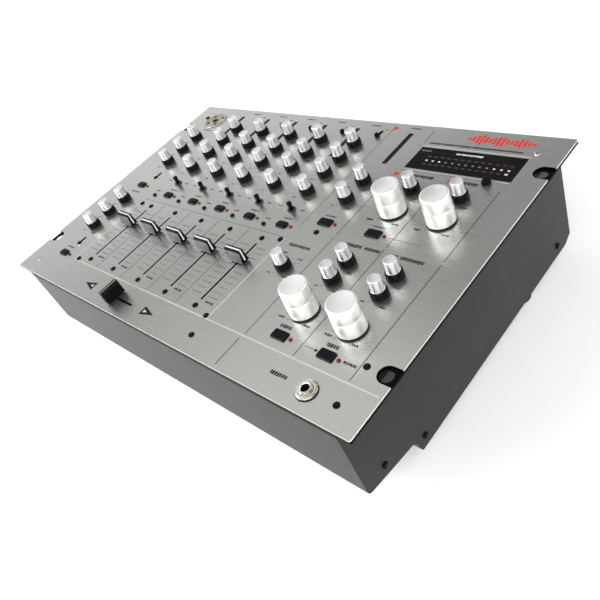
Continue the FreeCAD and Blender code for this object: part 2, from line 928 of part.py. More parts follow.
skin = case_solid("case_skin", "0", "case_width")
hollow = case_solid("case_hollow", "sheet_thick", "case_width - 2 * sheet_thick")
flange = block(
    "case_flange",
    "panel_width",
    "panel_depth",
    "sheet_thick",
    "panel_width / 2",
    "panel_depth / 2",
    "-panel_thick - sheet_thick",
)
flange_opening = block(
    "case_flange_opening",
    "case_width - 2 * sheet_thick",
    "case_back - case_front - 2 * sheet_thick",
    FLANGE_CUT,
    "panel_width / 2",
    "(case_front + case_back) / 2",
    FLANGE_CUT_START,
)
cover_opening = block(
    "cover_opening",
    "case_width - 2 * sheet_thick",
    "rear_bevel_start - step_foot - 2 * ( cover_end_gap - cover_gap )",
    FLANGE_CUT,
    "panel_width / 2",
    "(step_foot + rear_bevel_start) / 2",
    f"-case_height - {OVERCUT}",
)
ear_holes = [
    on_panel(
        rod(f"ear_hole_{end}_{side}", "ear_hole_radius", FLANGE_CUT),
        f"panel_width / 2 + {sign} * ear_hole_spacing / 2",
        row,
        FLANGE_CUT_START,
    )
    for end, row in EAR_ROWS.items()
    for side, sign in SIDES.items()
]
wall_holes = [
    side_tool(f"side_hole_{side}_{i}", "screw_hole", FLANGE_CUT, sign, y, z)
    for side, sign in SIDES.items()
    for i, (y, z) in enumerate(SIDE_SCREWS)
]
rear_holes = [
    rear_tool(f"phono_hole_{i}", "phono_base + rear_play", "wall_hole_depth", x, z)
    for i, (x, z) in enumerate(PHONO_PLACES)
]
rear_holes += [
    rear_tool(f"outlet_hole_{i}", "outlet_radius + rear_play", "wall_hole_depth", x, OUTLET_Z)
    for i, x in enumerate(OUTLETS)
]
rear_holes.append(
    block(
        "inlet_hole",
        "inlet_width + 2 * rear_play",
        "wall_hole_depth",
        "inlet_height + 2 * rear_play",
        "inlet_column",
        "case_back",
        f"{INLET_Z} - inlet_height / 2 - rear_play",
    )
)
rear_holes.append(
    block(
        "rocker_hole",
        "rocker_width + 2 * rocker_frame + 2 * rear_play",
        "wall_hole_depth",
        "rocker_height + 2 * rocker_frame + 2 * rear_play",
        "rocker_column",
        "case_back",
        f"{INLET_Z} - rocker_height / 2 - rocker_frame - rear_play",
    )
)
walls = less("case_walls", skin, [hollow, cover_opening])
collar = less("case_collar", flange, [flange_opening] + ear_holes)
shell = joined("case_walls_and_collar", [walls, collar])
node(less("case_shell", shell, wall_holes + rear_holes), "case_shell")

LIP_OUTSIDE = "case_width / 2 - sheet_thick - cover_gap"
cover = padded(
    "cover_tray",
    "XZ_Plane",
    [
        (f"-({LIP_OUTSIDE})", "-case_height"),
        (LIP_OUTSIDE, "-case_height"),
        (LIP_OUTSIDE, "-case_height + cover_lip"),
        (f"{LIP_OUTSIDE} - sheet_thick", "-case_height + cover_lip"),
        (f"{LIP_OUTSIDE} - sheet_thick", "-case_height + sheet_thick"),
        (f"-({LIP_OUTSIDE}) + sheet_thick", "-case_height + sheet_thick"),
        (f"-({LIP_OUTSIDE}) + sheet_thick", "-case_height + cover_lip"),
        (f"-({LIP_OUTSIDE})", "-case_height + cover_lip"),
    ],
    "rear_bevel_start - step_foot - 2 * cover_end_gap",
)
put(cover, y=along("rear_bevel_start - cover_end_gap"), z=above("0"))
cover_holes = [
    side_tool(f"cover_hole_{side}_{i}", "screw_hole", f"3 * sheet_thick + {OVERCUT}", sign, y, z)
    for side, sign in SIDES.items()
    for i, (y, z) in enumerate(SIDE_SCREWS[1:])
]
node(less("bottom_cover", cover, cover_holes), "bottom_cover")

foot = turned(
    "foot",
    [
        ("0", "0"),
        ("foot_radius - foot_taper", "0"),
        ("foot_radius", "panel_top - case_height"),
        ("0", "panel_top - case_height"),
    ],
)
feet = [
    copy_of(foot, f"foot_{end}_{side}", f"panel_width / 2 + {sign} * ({reach})", row, "-panel_top")
    for end, row, reach in (
        ("rear", "foot_rear_row", "case_width / 2 - foot_rear_inset"),
        ("front", "foot_front_row", "case_width / 2 - foot_front_inset"),
    )
    for side, sign in SIDES.items()
]
node(group("rubber_feet", feet), "rubber_feet")

# ---------------------------------------------------------------- circuit boards

board_parts = [
    block(
        name,
        f"{name}_right - {name}_left",
        f"{name}_back - {name}_front",
        "board_thick",
        f"({name}_left + {name}_right) / 2",
        f"({name}_front + {name}_back) / 2",
        "-board_top - board_thick",
    )
    for name in ("mic_board", "channel_board", "output_board")
]


def bored(name, base, bore, bottom):
    """A master body with a round hole down its middle from above the panel, to a given depth."""
    tool = put(rod(f"{name}_bore", bore, f"{bottom} + 2 * bush_height"), z=f"-({bottom})")
    return less(name, base, [tool])


pot_block = post("pot_block", "pot_width", "pot_width", "board_top - body_top", "-board_top")
pot_thread = rod("pot_thread", "bush_thread", "board_top - bush_thread_drop")
put(pot_thread, z="-board_top")
pot = bored(
    "pot",
    joined("pot_solid", [pot_block, pot_thread]),
    "shaft_radius + shaft_play",
    "shaft_bottom + shaft_end_gap",
)
board_parts += [copy_of(pot, f"pot_{i}", x, y) for i, (x, y) in enumerate(all_knobs)]

lever_block = post(
    "lever_block", "switch_width", "switch_width", "board_top - track_top", "-board_top"
)
lever_bush = put(rod("lever_bush", "bush_radius", "board_top + bush_height"), z="-board_top")
lever_switch = bored(
    "lever_switch",
    joined("lever_switch_solid", [lever_block, lever_bush]),
    "bush_bore",
    "bush_bore_depth",
)
board_parts += [
    copy_of(lever_switch, f"lever_switch_{i}", x, y) for i, (x, y) in enumerate(toggle_places)
]

slider_block = post(
    "slider_block",
    f"{SLIDER_SLOT[0]} + 2 * slider_width",
    f"{SLIDER_SLOT[1]} + 2 * slider_width",
    "board_top - track_top",
    "-board_top",
)
slider_room = post("slider_room", *SLIDER_SLOT, "board_top", "-slider_well")
slider_switch = less("slider_switch", slider_block, [slider_room])
board_parts += [
    copy_of(slider_switch, f"slider_switch_{i}", x, y) for i, (x, y) in enumerate(slider_places)
]

key_block = post("key_block", "switch_width", "switch_width", "board_top - body_top", "-board_top")
key_well = post(
    "key_well",
    "plunger + 2 * plunger_play",
    "plunger + 2 * plunger_play",
    "board_top",
    "-plunger_bottom - plunger_room",
)
key_switch = less("key_switch", key_block, [key_well])
board_parts += [
    copy_of(key_switch, f"key_switch_{i}", x, y)
    for i, (x, y) in enumerate(CUE_BUTTONS + KEY_BUTTONS)
]

SLOT_LENGTH = "slot_back - slot_front"


def fader_track(name, length):
    """A sliding fader's body, with its slot along y."""
    body = post(
        f"{name}_body",
        "track_width",
        f"{length} + 2 * track_margin",
        "track_bottom - track_top",
        "-track_bottom",
    )
    slot = post(
        f"{name}_slot", "slot_width", length, "track_bottom", "-track_bottom + track_floor"
    )
    return less(name, body, [slot])


channel_track = fader_track("channel_track", SLOT_LENGTH)
cross_track = fader_track("cross_track", "cross_slot")
board_parts += [
    copy_of(channel_track, f"channel_track_{i}", x, "(slot_front + slot_back) / 2")
    for i, x in enumerate(FADERS.values())
]
board_parts.append(
    turn(copy_of(cross_track, "cross_track_placed", "cross_middle", "cross_row"), Z_AXIS, 90)
)
POWER_FLOOR = "-case_height + power_stand"
board_parts.append(
    block(
        "power_board",
        "power_length",
        "power_width",
        "board_thick",
        "power_column",
        "power_row",
        POWER_FLOOR,
    )
)
board_parts.append(
    block(
        "power_capacitors",
        "capacitor_length",
        "capacitor_width",
        "capacitor_height",
        "power_column",
        "capacitor_row",
        f"{POWER_FLOOR} + board_thick",
    )
)
board_parts.append(
    block(
        "power_heat_sink",
        "heat_sink_length",
        "heat_sink_thick",
        "heat_sink_height",
        "power_column",
        "heat_sink_row",
        f"{POWER_FLOOR} + board_thick",
    )
)
node(group("circuit_boards", board_parts), "circuit_boards")

TRANSFORMER_PLACE = ("transformer_column", "transformer_row")
CORE_FLOOR = "-case_height + core_stand"
COIL_FLOOR = f"{CORE_FLOOR} + (core_height - coil_height) / 2"
core = block(
    "transformer_core", "core_length", "core_width", "core_height", *TRANSFORMER_PLACE, CORE_FLOOR
)
coil = block(
    "transformer_coil", "coil_length", "coil_width", "coil_height", *TRANSFORMER_PLACE, COIL_FLOOR
)
core_window = block(
    "transformer_window",
    "coil_length + 2 * coil_gap",
    "coil_width",
    "coil_height + 2 * coil_gap",
    *TRANSFORMER_PLACE,
    f"{COIL_FLOOR} - coil_gap",
)
bracket = block(
    "transformer_bracket",
    "bracket_length",
    "bracket_width",
    "core_stand - sheet_thick - 2 * bracket_gap",
    *TRANSFORMER_PLACE,
    "-case_height + sheet_thick + bracket_gap",
)
node(
    group("power_transformer", [less("core_ring", core, [core_window]), coil, bracket]),
    "power_transformer",
)

# ---------------------------------------------------------------- meter, lamps and sockets

METER_SIZE = ("meter_length - 2 * lens_gap", "meter_width - 2 * lens_gap")
STRIP_SIZE = ("strip_width - 2 * lens_gap", "strip_length - 2 * lens_gap")
LENS_FLOOR = "-meter_sink - lens_thick"
meter_lens = block("meter_lens", *METER_SIZE, "lens_thick", *METER_CENTRE, LENS_FLOOR)
meter_body = block(
    "meter_body",
    *METER_SIZE,
    "meter_body_height",
    *METER_CENTRE,
    f"{LENS_FLOOR} - meter_body_gap - meter_body_height",
)
strips = [
    block(f"strip_lens_{i}", *STRIP_SIZE, "lens_thick", x, STRIP_ROW, LENS_FLOOR)
    for i, x in enumerate(STRIP_COLUMNS)
]
strips += [
    block(
        f"strip_body_{i}",
        *STRIP_SIZE,
        "meter_body_height",
        x,
        STRIP_ROW,
        f"{LENS_FLOOR} - meter_body_gap - meter_body_height",
    )
    for i, x in enumerate(STRIP_COLUMNS)
]


def lamp(name, radius, proud):
    """A lamp with a domed end, standing on the boards."""
    return turned(
        name,
        [
            ("0", "-board_top"),
            (radius, "-board_top"),
            (radius, f"{proud} / 2"),
            (f"{radius} / 2", proud),
            ("0", proud),
        ],
    )


button_lamp = lamp("button_lamp", "lamp_radius", "lamp_proud")
peak_lamp = lamp("peak_lamp", "peak_radius", "peak_proud")
lamps = [copy_of(button_lamp, f"lamp_{i}", x, y) for i, (x, y) in enumerate(BUTTON_LAMPS)]
lamps += [copy_of(peak_lamp, f"peak_lamp_{i}", x, y) for i, (x, y) in enumerate(PEAK_LAMPS)]
node(group("meter_and_lamps", [meter_lens, meter_body] + strips + lamps), "meter_and_lamps")

phones_jack = turned(
    "phones_jack_profile",
    [
        ("jack_radius", "-jack_depth + jack_floor"),
        ("jack_radius", "jack_bush_height"),
        ("jack_bush_radius", "jack_bush_height"),
        ("jack_bush_radius", "-panel_thick - rear_play"),
        ("jack_body_radius", "-panel_thick - rear_play"),
        ("jack_body_radius", "-jack_depth"),
        ("0", "-jack_depth"),
        ("0", "-jack_depth + jack_floor"),
    ],
)
phones_nut = turned(
    "phones_nut_profile",
    [
        ("jack_bush_radius", "0"),
        ("jack_nut_radius", "0"),
        ("jack_nut_radius", "jack_nut_height - jack_nut_slope / 2"),
        ("jack_nut_radius - jack_nut_slope", "jack_nut_height"),
        ("jack_bush_radius", "jack_nut_height"),
    ],
)
mic_socket = turned(
    "mic_socket_profile",
    [
        ("jack_radius", "-mic_socket_depth + jack_floor"),
        ("jack_radius", "-mic_socket_dish"),
        ("mic_socket_radius - mic_socket_rim", "-mic_socket_dish"),
        ("mic_socket_radius - mic_socket_rim", "mic_socket_dish"),
        ("mic_socket_flange", "mic_socket_dish"),
        ("mic_socket_flange", "0"),
        ("mic_socket_radius", "0"),
        ("mic_socket_radius", "-mic_socket_depth"),
        ("0", "-mic_socket_depth"),
        ("0", "-mic_socket_depth + jack_floor"),
    ],
)
sockets = [
    copy_of(phones_jack, "phones_jack", "phones_column", "phones_row"),
    copy_of(phones_nut, "phones_nut", "phones_column", "phones_row"),
    copy_of(mic_socket, "mic_socket", "mic_socket_column", "mic_socket_row"),
]

phono = turned(
    "phono_profile",
    [
        ("0", "0"),
        ("phono_base", "0"),
        ("phono_base", "rear_inset + phono_base_proud"),
        ("phono_radius", "rear_inset + phono_base_proud"),
        ("phono_radius", "rear_inset + rear_reach"),
        ("phono_bore", "rear_inset + rear_reach"),
        ("phono_bore", "phono_bore_floor"),
        ("0", "phono_bore_floor"),
    ],
)
OUTLET_END = "rear_inset + outlet_flange_thick"
outlet = turned(
    "outlet_profile",
    [
        ("0", f"{OUTLET_END} - outlet_cavity_depth - outlet_floor"),
        ("outlet_radius", f"{OUTLET_END} - outlet_cavity_depth - outlet_floor"),
        ("outlet_radius", "rear_inset"),
        ("outlet_radius + outlet_flange", "rear_inset"),
        ("outlet_radius + outlet_flange", OUTLET_END),
        ("outlet_cavity", OUTLET_END),
        ("outlet_cavity", f"{OUTLET_END} - outlet_cavity_depth"),
        ("0", f"{OUTLET_END} - outlet_cavity_depth"),
    ],
)


def on_rear(master, name, x, z):
    """A copy of a master whose own z points out of the rear wall, from inside the case."""
    made = turn(group(name, [master]), X_AXIS, -90)
    return on_panel(made, x, "case_back - rear_inset", z)


sockets += [on_rear(phono, f"phono_{i}", x, z) for i, (x, z) in enumerate(PHONO_PLACES)]
sockets += [on_rear(outlet, f"outlet_{i}", x, OUTLET_Z) for i, x in enumerate(OUTLETS)]


def on_rear_wall(name, length, depth, height, column, proud):
    """A box through the rear wall, centred on a column at the inlet's height."""
    return block(
        name,
        length,
        depth,
        height,
        column,
        f"case_back + {proud} - ({depth}) / 2",
        f"{INLET_Z} - ({height}) / 2",
    )


inlet_body = on_rear_wall(
    "inlet_body",
    "inlet_width",
    "inlet_depth + inlet_floor",
    "inlet_height",
    "inlet_column",
    "inlet_proud",
)
inlet_bezel = on_rear_wall(
    "inlet_bezel",
    "inlet_width + 2 * bezel_margin",
    "inlet_proud",
    "inlet_height + 2 * bezel_margin",
    "inlet_column",
    "inlet_proud",
)
inlet_cavity = on_rear_wall(
    "inlet_cavity",
    "inlet_width - 2 * inlet_wall",
    "inlet_depth",
    "inlet_height - 2 * inlet_wall",
    "inlet_column",
    "inlet_cavity_proud",
)
sockets.append(less("inlet", joined("inlet_solid", [inlet_body, inlet_bezel]), [inlet_cavity]))
frame_body = on_rear_wall(
    "rocker_frame_body",
    "rocker_width + 2 * rocker_frame",
    "rocker_frame_depth",
    "rocker_height + 2 * rocker_frame",
    "rocker_column",
    "rocker_frame_proud",
)
frame_well = on_rear_wall(
    "rocker_well",
    "rocker_width + 2 * rocker_gap",
    "rocker_well_depth",
    "rocker_height + 2 * rocker_gap",
    "rocker_column",
    "2 * rocker_frame_proud",
)
sockets.append(less("rocker_frame_cut", frame_body, [frame_well]))
node(group("sockets", sockets), "sockets")

rocker = padded(
    "rocker",
    "YZ_Plane",
    [
        ("-rocker_root", "-rocker_root_half"),
        ("-rocker_root", "rocker_root_half"),
        ("rocker_edge", "rocker_height / 2"),
        ("rocker_crest", "rocker_height / 2"),
        ("rocker_dip", "0"),
        ("rocker_crest", "-rocker_height / 2"),
        ("rocker_edge", "-rocker_height / 2"),
    ],
    "rocker_width",
)
rocker_centred = group("rocker_centred", [put(rocker, x="-rocker_width / 2")])
turn(rocker_centred, X_AXIS, -DRIVING_SIZES["rocker_tilt"])
node(on_panel(rocker_centred, "rocker_column", "case_back", INLET_Z), "power_rocker")

# ---------------------------------------------------------------- screws

def screw(name, head, head_height, length):
    """A screw whose head stands on the origin."""
    return turned(
        name,
        [
            ("0", f"-{length}"),
            ("screw_shank", f"-{length}"),
            ("screw_shank", "0"),
            (head, "0"),
            (f"{head} - screw_head_slope", head_height),
            ("0", head_height),
        ],
    )


panel_screw = screw("panel_screw", "screw_head", "screw_head_height", "screw_length")
side_screw = screw("side_screw", "side_screw_head", "side_screw_head_height", "side_screw_length")
screws = [copy_of(panel_screw, f"panel_screw_{i}", x, y) for i, (x, y) in enumerate(PANEL_SCREWS)]
for side, sign in SIDES.items():
    for i, (y, z) in enumerate(SIDE_SCREWS):
        made = turn(group(f"side_screw_{side}_{i}", [side_screw]), Y_AXIS, 90 * sign)
        screws.append(put(made, f"{sign} * case_width / 2", along(y), above(z)))
node(group("screws", screws), "screws")

# ---------------------------------------------------------------- checks and files

doc.recompute()
for thing in doc.Objects:
    if "Invalid" in thing.State or "Error" in thing.State:
        raise RuntimeError(f"{thing.Label} failed: {thing.State}")
os.makedirs("parts", exist_ok=True)
for thing in NODES:
    shape = thing.Shape
    if shape.isNull() or not shape.isValid():
        raise RuntimeError(f"{thing.Label} has no valid shape")
    shape.exportStep(f"parts/{thing.Label}.step")
print(len(NODES), "nodes written")
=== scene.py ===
"""The looks of a rack-width DJ mixer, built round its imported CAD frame.

Sizes are millimetres, made metres by MM or by the function that takes them.  A place on the
control panel is given by panel(x, y, z): millimetres from the panel's left edge, from its
front edge and above its top face.  Camera, lights and floor are in metres.
"""
import math
import random

import bmesh
import bpy
from mathutils import Matrix, Vector


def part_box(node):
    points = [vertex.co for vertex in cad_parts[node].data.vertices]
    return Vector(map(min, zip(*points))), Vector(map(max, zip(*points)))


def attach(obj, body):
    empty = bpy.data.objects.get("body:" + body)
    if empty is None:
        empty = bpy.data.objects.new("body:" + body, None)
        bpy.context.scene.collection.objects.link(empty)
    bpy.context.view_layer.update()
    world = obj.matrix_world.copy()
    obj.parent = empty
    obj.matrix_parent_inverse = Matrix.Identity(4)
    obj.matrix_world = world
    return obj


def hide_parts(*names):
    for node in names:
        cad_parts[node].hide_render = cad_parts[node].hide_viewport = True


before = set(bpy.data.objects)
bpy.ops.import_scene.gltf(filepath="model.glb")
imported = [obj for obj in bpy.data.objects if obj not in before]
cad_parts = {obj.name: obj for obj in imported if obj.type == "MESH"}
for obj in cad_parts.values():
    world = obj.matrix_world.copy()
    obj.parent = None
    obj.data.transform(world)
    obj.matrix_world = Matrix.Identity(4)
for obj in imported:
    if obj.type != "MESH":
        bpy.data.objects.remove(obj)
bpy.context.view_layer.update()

MM = 0.001
CHANNELS = ["one", "two", "three", "four", "five"]
CHASSIS = "chassis"
PANEL_LOW, PANEL_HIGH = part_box("faceplate")
KNOBS = sorted(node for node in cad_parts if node.endswith("_knob"))
# the four large knobs rise more than this above the panel, and the small ones less
LARGE_RISE = 20 * MM
# the faceplate's lower edge is painted black as shade this far up, and its outer rim carries a
# painted highlight this far in
EDGE_SHADE = 1.0 * MM
RIM_HIGHLIGHT_WIDTH = 0.8 * MM
# how far the black collar reaches below the faceplate (a black flange that also carries painted
# shade under the faceplate's overhang), and the control bodies below its top
COLLAR_SHADE_DEPTH = 9.0 * MM
BODY_DEPTH = 12.9 * MM


def panel(x, y, z=0.0):
    """A point in the frame, from millimetres on the control panel."""
    return Vector((PANEL_LOW.x + x * MM, PANEL_LOW.y + y * MM, PANEL_HIGH.z + z * MM))


def centre(node):
    """The middle of a CAD node's box."""
    low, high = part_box(node)
    return (low + high) / 2


def on_top(node):
    """The point of the panel's top face under a CAD node's middle."""
    middle = centre(node)
    return Vector((middle.x, middle.y, PANEL_HIGH.z))


def in_row(x, node):
    """A point of the panel's top face, at millimetres x and level with a CAD node's middle."""
    return Vector((panel(x, 0).x, centre(node).y, PANEL_HIGH.z))


def is_large(knob):
    """Whether a knob is one of the four large ones."""
    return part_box(knob)[1].z - PANEL_HIGH.z > LARGE_RISE


CHANNEL_X = [(centre(f"channel_{name}_gain_knob").x - PANEL_LOW.x) / MM for name in CHANNELS]

# -------- materials


class Finish:
    """A procedural material: one Principled shader and the nodes that feed it.

    The colour and roughness given first stay in their sockets, for viewers that read no nodes.
    """

    def __init__(self, name, color, roughness, metallic=0.0, **fixed):
        self.material = bpy.data.materials.new(name)
        self.material.use_nodes = True
        self.tree = self.material.node_tree
        self.shader = self.tree.nodes["Principled BSDF"]
        self.place = self.node("TexCoord", "Object", {})
        self.color(self.rgb(color))
        self.rough(roughness)
        self.put("Metallic", metallic)
        for socket, value in fixed.items():
            self.put(socket.replace("_", " "), value)

    @staticmethod
    def rgb(color):
        """A plain colour with its alpha; another node's output stays as it is."""
        return (*color, 1.0) if isinstance(color, tuple) else color

    def feed(self, socket, value):
        """Sets a socket, or links it when the value is another node's output."""
        if isinstance(value, bpy.types.NodeSocket):
            self.tree.links.new(value, socket)
        else:
            socket.default_value = value

    def put(self, name, value):
        """Sets or links one of the shader's own sockets."""
        self.feed(self.shader.inputs[name], value)

    def node(self, kind, output, inputs, **settings):
        """Adds a shader node and returns one of its outputs."""
        made = self.tree.nodes.new(f"ShaderNode{kind}")
        for key, value in settings.items():
            setattr(made, key, value)
        for key, value in inputs.items():
            self.feed(made.inputs[key], value)
        return made.outputs[output]

    def noise(self, scale, stretch=(1, 1, 1), detail=3.0):
        """Noise in the object's own space, with a different scale along each axis if stretched."""
        space = self.node("Mapping", "Vector", {"Vector": self.place, "Scale": stretch})
        inputs = {"Vector": space, "Scale": scale, "Detail": detail}
        return self.node("TexNoise", "Fac", inputs)

    def span(self, value, low, high, start=0.3, end=0.7):
        """A value between start and end, spread from low to high."""
        spans = {"From Min": start, "From Max": end, "To Min": low, "To Max": high}
        return self.node("MapRange", "Result", {"Value": value, **spans})

    def mix(self, factor, first, second):
        """A colour between two, by a factor."""
        inputs = {0: factor, 6: self.rgb(first), 7: self.rgb(second)}
        return self.node("Mix", 2, inputs, data_type="RGBA")

    def math(self, operation, first, second=0.0):
        """The result of an operation on two values."""
        return self.node("Math", 0, {0: first, 1: second}, operation=operation)

    def axis(self, letter):
        """One coordinate of the place, in metres."""
        return self.node("SeparateXYZ", letter, {"Vector": self.place})

    def color(self, value):
        self.put("Base Color", value)

    def rough(self, value):
        self.put("Roughness", value)
        return self

    def bump(self, height, strength, distance):
        """Makes a height look raised, up to a distance in millimetres."""
        inputs = {"Height": height, "Strength": strength, "Distance": distance * MM}
        self.put("Normal", self.node("Bump", "Normal", inputs))
        return self


def brushed_panel():
    """Silver anodised aluminium, brushed from side to side.

    Its outer rim carries a painted highlight, its lower edge is painted black as shade, and the
    walls of the cuts for the controls are painted dark as shade.
    """
    groove, crest, cloudy = (0.47, 0.476, 0.453), (0.52, 0.525, 0.496), (0.4, 0.41, 0.405)
    # the cut walls' near-black and the lower edge's black are painted shade, and the rim's
    # near-white is a painted highlight
    cut_wall_shade, rim_highlight, lower_edge_shade = (0.012, 0.012, 0.012), (0.93, 0.93, 0.91), (0.004,) * 3
    made = Finish("brushed_panel", (0.6, 0.6, 0.58), 0.27, 0.92)
    brush = made.noise(1.0, (40, 5200, 5200), 4.0)
    cloud = made.noise(9.0)
    plain = made.mix(brush, groove, crest)
    clouded = made.mix(made.span(cloud, 0.0, 0.12), plain, cloudy)
    facing = made.node("TexCoord", "Normal", {})
    upright = made.node("SeparateXYZ", "Z", {"Vector": facing})
    cut = made.span(made.math("ABSOLUTE", upright), 1.0, 0.0, 0.3, 0.8)
    edge_shade_mask = made.math("LESS_THAN", made.axis("Z"), PANEL_LOW.z + EDGE_SHADE)
    across = made.math("ABSOLUTE", made.axis("X"))
    along = made.math("ABSOLUTE", made.axis("Y"))
    rim_x = made.math("GREATER_THAN", across, PANEL_HIGH.x - RIM_HIGHLIGHT_WIDTH)
    rim_y = made.math("GREATER_THAN", along, PANEL_HIGH.y - RIM_HIGHLIGHT_WIDTH)
    rim = made.math("MAXIMUM", rim_x, rim_y)
    edge = made.mix(edge_shade_mask, made.mix(rim, cut_wall_shade, rim_highlight), lower_edge_shade)
    made.color(made.mix(cut, clouded, edge))
    made.rough(made.math("ADD", made.span(brush, 0.22, 0.33), made.span(cloud, 0.0, 0.04)))
    return made.bump(brush, 0.04, 0.03).material


def case_paint(name, wall):
    """Powder-coated steel, black on the collar under the panel and charcoal below it. The collar's
    black is partly a black flange and partly painted shade under the faceplate's overhang.
    """
    collar_black_and_shade, worn = (0.003, 0.003, 0.003), (0.3, 0.3, 0.29)
    made = Finish(name, wall, 0.4)
    grain = made.noise(900, detail=2.0)
    cloud = made.noise(14)
    scuff = made.noise(160, (1, 1, 5), 5.0)
    lighter = tuple(c * 1.25 for c in wall)
    paint = made.mix(made.span(cloud, 0.0, 1.0), wall, lighter)
    scuffed = made.mix(made.span(scuff, 0.0, 0.25, 0.66, 0.8), paint, worn)
    # the collar band's black stands partly for painted shade under the faceplate's overhang
    above = made.math("GREATER_THAN", made.axis("Z"), PANEL_LOW.z - COLLAR_SHADE_DEPTH)
    made.color(made.mix(above, scuffed, collar_black_and_shade))
    made.put("Specular IOR Level", made.span(above, 0.21, 0.03))
    made.rough(made.span(grain, 0.3, 0.46))
    return made.bump(grain, 0.25, 0.06).material


def moulded_black(name, color, gloss, shine):
    """Moulded plastic, mostly black, with smears in its gloss and paler edges."""
    made = Finish(name, color, gloss, Specular_IOR_Level=shine)
    smear = made.noise(220, (1, 1, 0.4), 4.0)
    grain = made.noise(2600, detail=1.0)
    worn = tuple(c * 1.3 + 0.004 for c in color)
    edges = made.span(made.node("NewGeometry", "Pointiness", {}), 0.0, 1.0, 0.54, 0.7)
    made.color(made.mix(edges, color, worn))
    made.rough(made.span(smear, gloss * 0.7, gloss * 1.9))
    return made.bump(grain, 0.08, 0.02).material


def turned_metal(name, color, gloss, top_height):
    """Turned metal: fine rings on the end face, and fine turning lines round the side."""
    made = Finish(name, color, gloss, 1.0)
    wave = {"Vector": made.place, "Scale": 900.0, "Distortion": 1.5, "Detail": 3.0}
    rings = made.node("TexWave", "Fac", wave, wave_type="RINGS", rings_direction="Z")
    lines = made.noise(1.0, (60, 60, 7000), 3.0)
    on_end = made.math("GREATER_THAN", made.axis("Z"), top_height)
    grooves = made.node("Mix", 0, {0: on_end, 2: lines, 3: rings}, data_type="FLOAT")
    haze = made.noise(130)
    dark = tuple(c * 0.9 for c in color)
    made.color(made.mix(made.span(grooves, 0.0, 1.0, 0.2, 0.8), dark, color))
    made.rough(made.math("ADD", made.span(grooves, gloss, gloss + 0.08), made.span(haze, 0, 0.05)))
    return made.bump(grooves, 0.12, 0.03).material


def plated(name, color, gloss):
    """Bright plating with faint tarnish."""
    made = Finish(name, color, gloss, 1.0)
    tarnish = made.noise(420, detail=5.0)
    dull = tuple(c * 0.62 for c in color)
    made.color(made.mix(made.span(tarnish, 0.0, 0.6, 0.45, 0.75), color, dull))
    made.rough(made.span(tarnish, gloss, gloss + 0.16))
    return made.bump(made.noise(3000, detail=1.0), 0.05, 0.02).material


def printed(name, color):
    """Screen-printed ink, slightly uneven and thinner in places."""
    made = Finish(name, color, 0.5, Specular_IOR_Level=0.1)
    film = made.noise(1800, detail=2.0)
    thin = tuple(c * 0.8 + 0.008 for c in color)
    made.color(made.mix(made.span(film, 0.0, 0.7), color, thin))
    made.rough(made.span(film, 0.42, 0.6))
    return made.bump(film, 0.1, 0.01).material


def rubber():
    """Matt black rubber with a dusty face."""
    made = Finish("foot_rubber", (0.022, 0.022, 0.022), 0.8)
    dust = made.noise(300, detail=5.0)
    dusty = made.span(dust, 0.0, 0.5, 0.5, 0.8)
    made.color(made.mix(dusty, (0.02, 0.02, 0.02), (0.08, 0.078, 0.072)))
    made.rough(made.span(dust, 0.7, 0.92))
    return made.bump(made.noise(1400), 0.3, 0.08).material


def laminate():
    """Circuit boards: green mask with tracks, and black control bodies above the boards."""
    made = Finish("board_laminate", (0.02, 0.12, 0.05), 0.4)
    bricks = {"Vector": made.place, "Scale": 90.0, "Mortar Size": 0.03}
    tracks = made.node("TexBrick", "Fac", bricks)
    mask = made.mix(tracks, (0.015, 0.11, 0.045), (0.05, 0.2, 0.08))
    above = made.math("GREATER_THAN", made.axis("Z"), PANEL_HIGH.z - BODY_DEPTH)
    made.color(made.mix(above, mask, (0.012, 0.012, 0.013)))
    made.rough(made.span(made.noise(500), 0.3, 0.5))
    return made.bump(tracks, 0.2, 0.05).material


def varnished_core():
    """Stacked, varnished laminations."""
    made = Finish("transformer_laminations", (0.2, 0.17, 0.12), 0.45, 0.6)
    bands = {"Vector": made.place, "Scale": 320.0}
    sheets = made.node("TexWave", "Fac", bands, bands_direction="Z")
    made.color(made.mix(sheets, (0.12, 0.1, 0.07), (0.3, 0.26, 0.2)))
    return made.bump(sheets, 0.3, 0.1).material


def lamp(name, color, glow, strength):
    """A coloured lamp lens, slightly mottled, that glows by a strength."""
    made = Finish(name, color, 0.25, Specular_IOR_Level=0.15)
    made.put("Emission Color", made.rgb(glow))
    made.put("Emission Strength", strength)
    speck = made.noise(1500)
    dark = tuple(c * 0.5 for c in color)
    made.color(made.mix(made.span(speck, 0.0, 1.0), color, dark))
    return made.rough(made.span(speck, 0.18, 0.32)).material


def smoked_window():
    """A smoked acrylic window with faint wiping marks."""
    made = Finish("smoked_window", (0.006, 0.006, 0.008), 0.08, Specular_IOR_Level=0.07)
    wipe = made.noise(60, (1, 6, 1), 4.0)
    made.color(made.mix(made.span(wipe, 0.0, 1.0), (0.005, 0.005, 0.007), (0.012, 0.011, 0.013)))
    return made.rough(made.span(wipe, 0.06, 0.16)).material


BRUSHED = brushed_panel()
CASE = case_paint("case_paint", (0.016, 0.0155, 0.014))
COVER = case_paint("cover_paint", (0.015, 0.0147, 0.0135))
BLACK = moulded_black("black_plastic", (0.003, 0.003, 0.004), 0.14, 0.13)
SOFT_BLACK = moulded_black("soft_black_plastic", (0.004, 0.004, 0.005), 0.4, 0.07)
